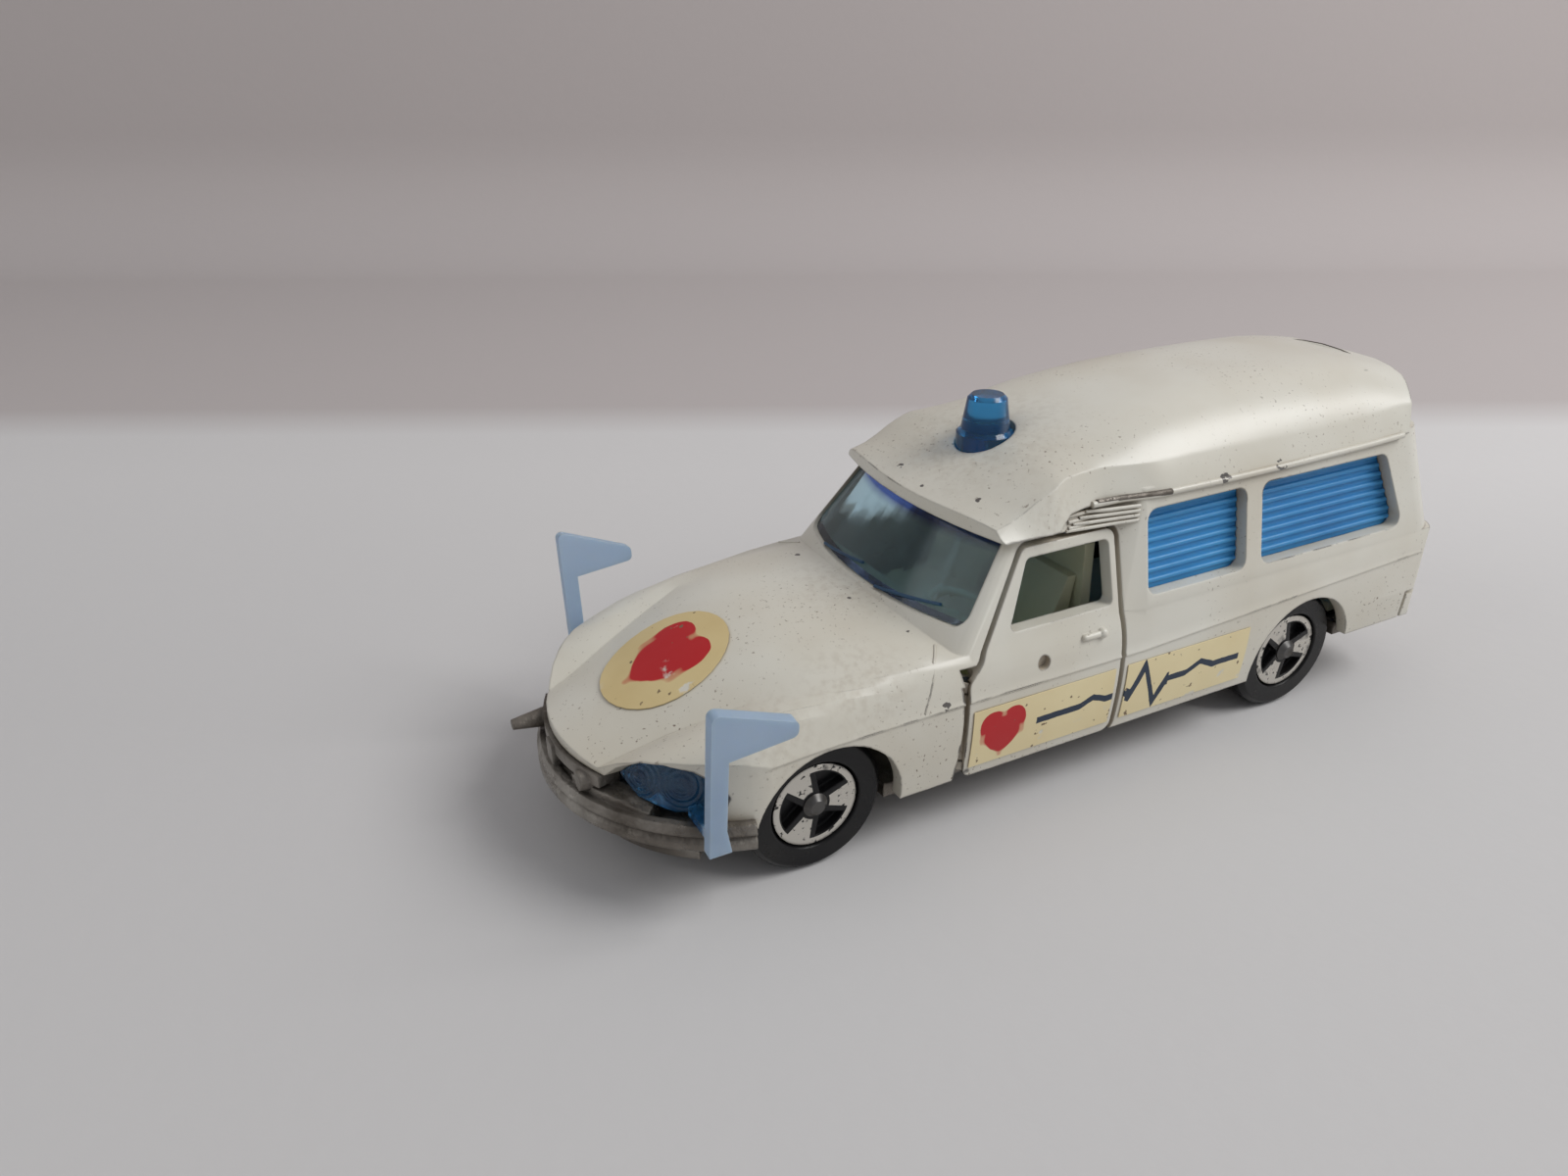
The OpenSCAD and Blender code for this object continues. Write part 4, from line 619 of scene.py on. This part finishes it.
def side_print(tree, paper, at):
    up = sums(tree, "SUBTRACT", at["Z"], side_print_z)
    mark = heart(tree, sums(tree, "SUBTRACT", at["Y"], side_heart_y), sums(tree, "ADD", up, side_heart_drop),
                 side_heart_size)
    along = ramp(tree, at["Y"], pulse_start, pulse_end)
    pulse = add(tree, "FloatCurve", [("Value", along)])
    curve = pulse.mapping.curves[0]
    for x, y in pulse_knots[1:-1]:
        curve.points.new(x, y)
    for point, (x, y) in zip(curve.points, pulse_knots):
        point.location = (x, y)
        point.handle_type = "VECTOR"
    pulse.mapping.update()
    line = ramp(tree, pulse.outputs[0], 0, 1, -pulse_height, pulse_height)
    gap = sums(tree, "ABSOLUTE", sums(tree, "SUBTRACT", up, line))
    steep = between(tree, along, pulse_steep_from, pulse_steep_to)
    ink = sums(tree, "LESS_THAN", gap, ramp(tree, steep, 0, 1, pulse_half, pulse_steep_half))
    ink = sums(tree, "MULTIPLY", ink, between(tree, along, pulse_margin, 1 - pulse_margin))
    return over_colour(tree, over_colour(tree, paper, navy_ink, ink), red_ink, mark)


# The hood label takes the paper in painted shade, the door and side labels the paper in painted light.
hood_paper_shaded = printed_paper("hood_label_paper_shaded", hood_print, hood_fresh_shaded, hood_aged_shaded)
hood_label_angle = 40
dress(smooth_copy("hood_label", "hood_label_paper_shaded", hood_label_angle), hood_paper_shaded)
side_paper_lit = printed_paper("side_label_paper_lit", side_print, side_fresh_lit, side_aged_lit)
for node in ("left_door_label", "right_door_label", "left_side_label", "right_side_label"):
    dress(smooth_copy(node, node + "_paper", smooth_angle), side_paper_lit)

# Floor: a sheet of matt white paper, plain with a fine tooth, which bends up behind the car and carries the car and
# its shadow.
# Its colour holds painted light and shade: lighter away from the car, and greyer from a line ahead of the bend and up
# the wall, as painted shade.
heading = math.radians(62.755)
floor_size, floor_back = 2.4, -1.0
bend_steps, bend_step, wall_rise = 10, 0.005, (0, 0.02, 0.7)
# Painted light and shade on the paper: its colours, and the depths and heights where they change.
near_floor_shaded, far_floor_lit, floor_light_run = (0.61, 0.598, 0.592, 1), (0.68, 0.667, 0.66, 1), 0.06
backdrop_shade_foot, backdrop_shade_wall, backdrop_light_rise = (0.515, 0.473, 0.463, 1), (0.535, 0.488, 0.474, 1), 0.02
floor_light_end, backdrop_shade_start = 0.078, 0.092
bpy.ops.object.select_all(action="DESELECT")
bpy.ops.mesh.primitive_plane_add(size=floor_size, location=(0, floor_back, 0))
floor = bpy.context.object
floor.name = "paper_floor"
bpy.ops.object.transform_apply(location=True)
bpy.ops.object.mode_set(mode="EDIT")
bpy.ops.mesh.select_all(action="DESELECT")
bpy.ops.object.mode_set(mode="OBJECT")
for line in floor.data.edges:
    line.select = all(floor.data.vertices[v].co.y > 0 for v in line.vertices)
bpy.ops.object.mode_set(mode="EDIT")
bpy.ops.mesh.select_mode(type="EDGE")
for k in range(bend_steps):
    slope = math.radians((k + 0.5) * 90 / bend_steps)
    bpy.ops.mesh.extrude_region_move(
        TRANSFORM_OT_translate={"value": (0, bend_step * math.cos(slope), bend_step * math.sin(slope))})
bpy.ops.mesh.extrude_region_move(TRANSFORM_OT_translate={"value": wall_rise})
bpy.ops.object.mode_set(mode="OBJECT")
bpy.ops.object.shade_smooth()
floor.rotation_euler = (0, 0, heading)
bpy.ops.object.transform_apply(rotation=True)
material, tree, surface, place = finish_named("paper_with_painted_light_and_shade", Roughness=0.92)
ahead = (-math.sin(heading), math.cos(heading), 0)
depth = add(tree, "VectorMath", [(0, place), (1, ahead)], operation="DOT_PRODUCT").outputs["Value"]
height = add(tree, "SeparateXYZ", [(0, place)]).outputs["Z"]
# The grey is painted shade standing for a darker backdrop and lightens a little up the wall as painted light; the
# white is painted lighter away from the car as painted light.
painted_backdrop_shade = over_colour(tree, backdrop_shade_foot, backdrop_shade_wall, ramp(tree, height, 0.0, backdrop_light_rise))
floor_light_and_shade = over_colour(tree, near_floor_shaded, far_floor_lit, ramp(tree, depth, 0.0, floor_light_run))
tint = over_colour(tree, floor_light_and_shade, painted_backdrop_shade, ramp(tree, depth, floor_light_end, backdrop_shade_start))
tree.links.new(tint, surface.inputs["Base Color"])
skin_bump(tree, surface, grain(tree, place, 500, 5), 0.12, 0.0003)
floor.data.materials.append(material)

# Light: one broad window above the tail at the car's left, a weak fill in front and an even grey surround.
# All are soft, at a plain level.
room_tint, room_level = (0.88, 0.9, 0.95, 1), 0.35
world = bpy.context.scene.world or bpy.data.worlds.new("room")
bpy.context.scene.world = world
world.use_nodes = True
room = world.node_tree.nodes["Background"]
room.inputs["Color"].default_value = room_tint
room.inputs["Strength"].default_value = room_level
for name, spot, power, size in (("window", (0.22, 0.3, 0.4), 1.9, 0.3), ("fill", (-0.1, -0.45, 0.3), 0.35, 0.4)):
    light = bpy.data.lights.new(name, "AREA")
    light.energy = power
    light.size = size
    lamp = bpy.data.objects.new(name, light)
    lamp.location = spot
    lamp.rotation_euler = (-lamp.location).to_track_quat("-Z", "Y").to_euler()
    bpy.context.scene.collection.objects.link(lamp)

# Camera: a near, wide view of the left front corner from above.
# It looks along the heading that the floor is turned to, tipped down and rolled a little.
tip_down, roll = math.radians(26.279), math.radians(-0.384)
view = bpy.data.cameras.new("camera")
view.sensor_width = 36
view.lens = 25.505
view.clip_start = 0.005
camera = bpy.data.objects.new("camera", view)
camera.location = (0.066620, -0.053674, 0.053480)
tilt = Matrix.Rotation(math.pi / 2 - tip_down, 3, "X") @ Matrix.Rotation(roll, 3, "Z")
camera.rotation_euler = (Matrix.Rotation(heading, 3, "Z") @ tilt).to_euler()
bpy.context.scene.collection.objects.link(camera)
bpy.context.scene.camera = camera
bpy.context.scene.view_settings.view_transform = "Standard"
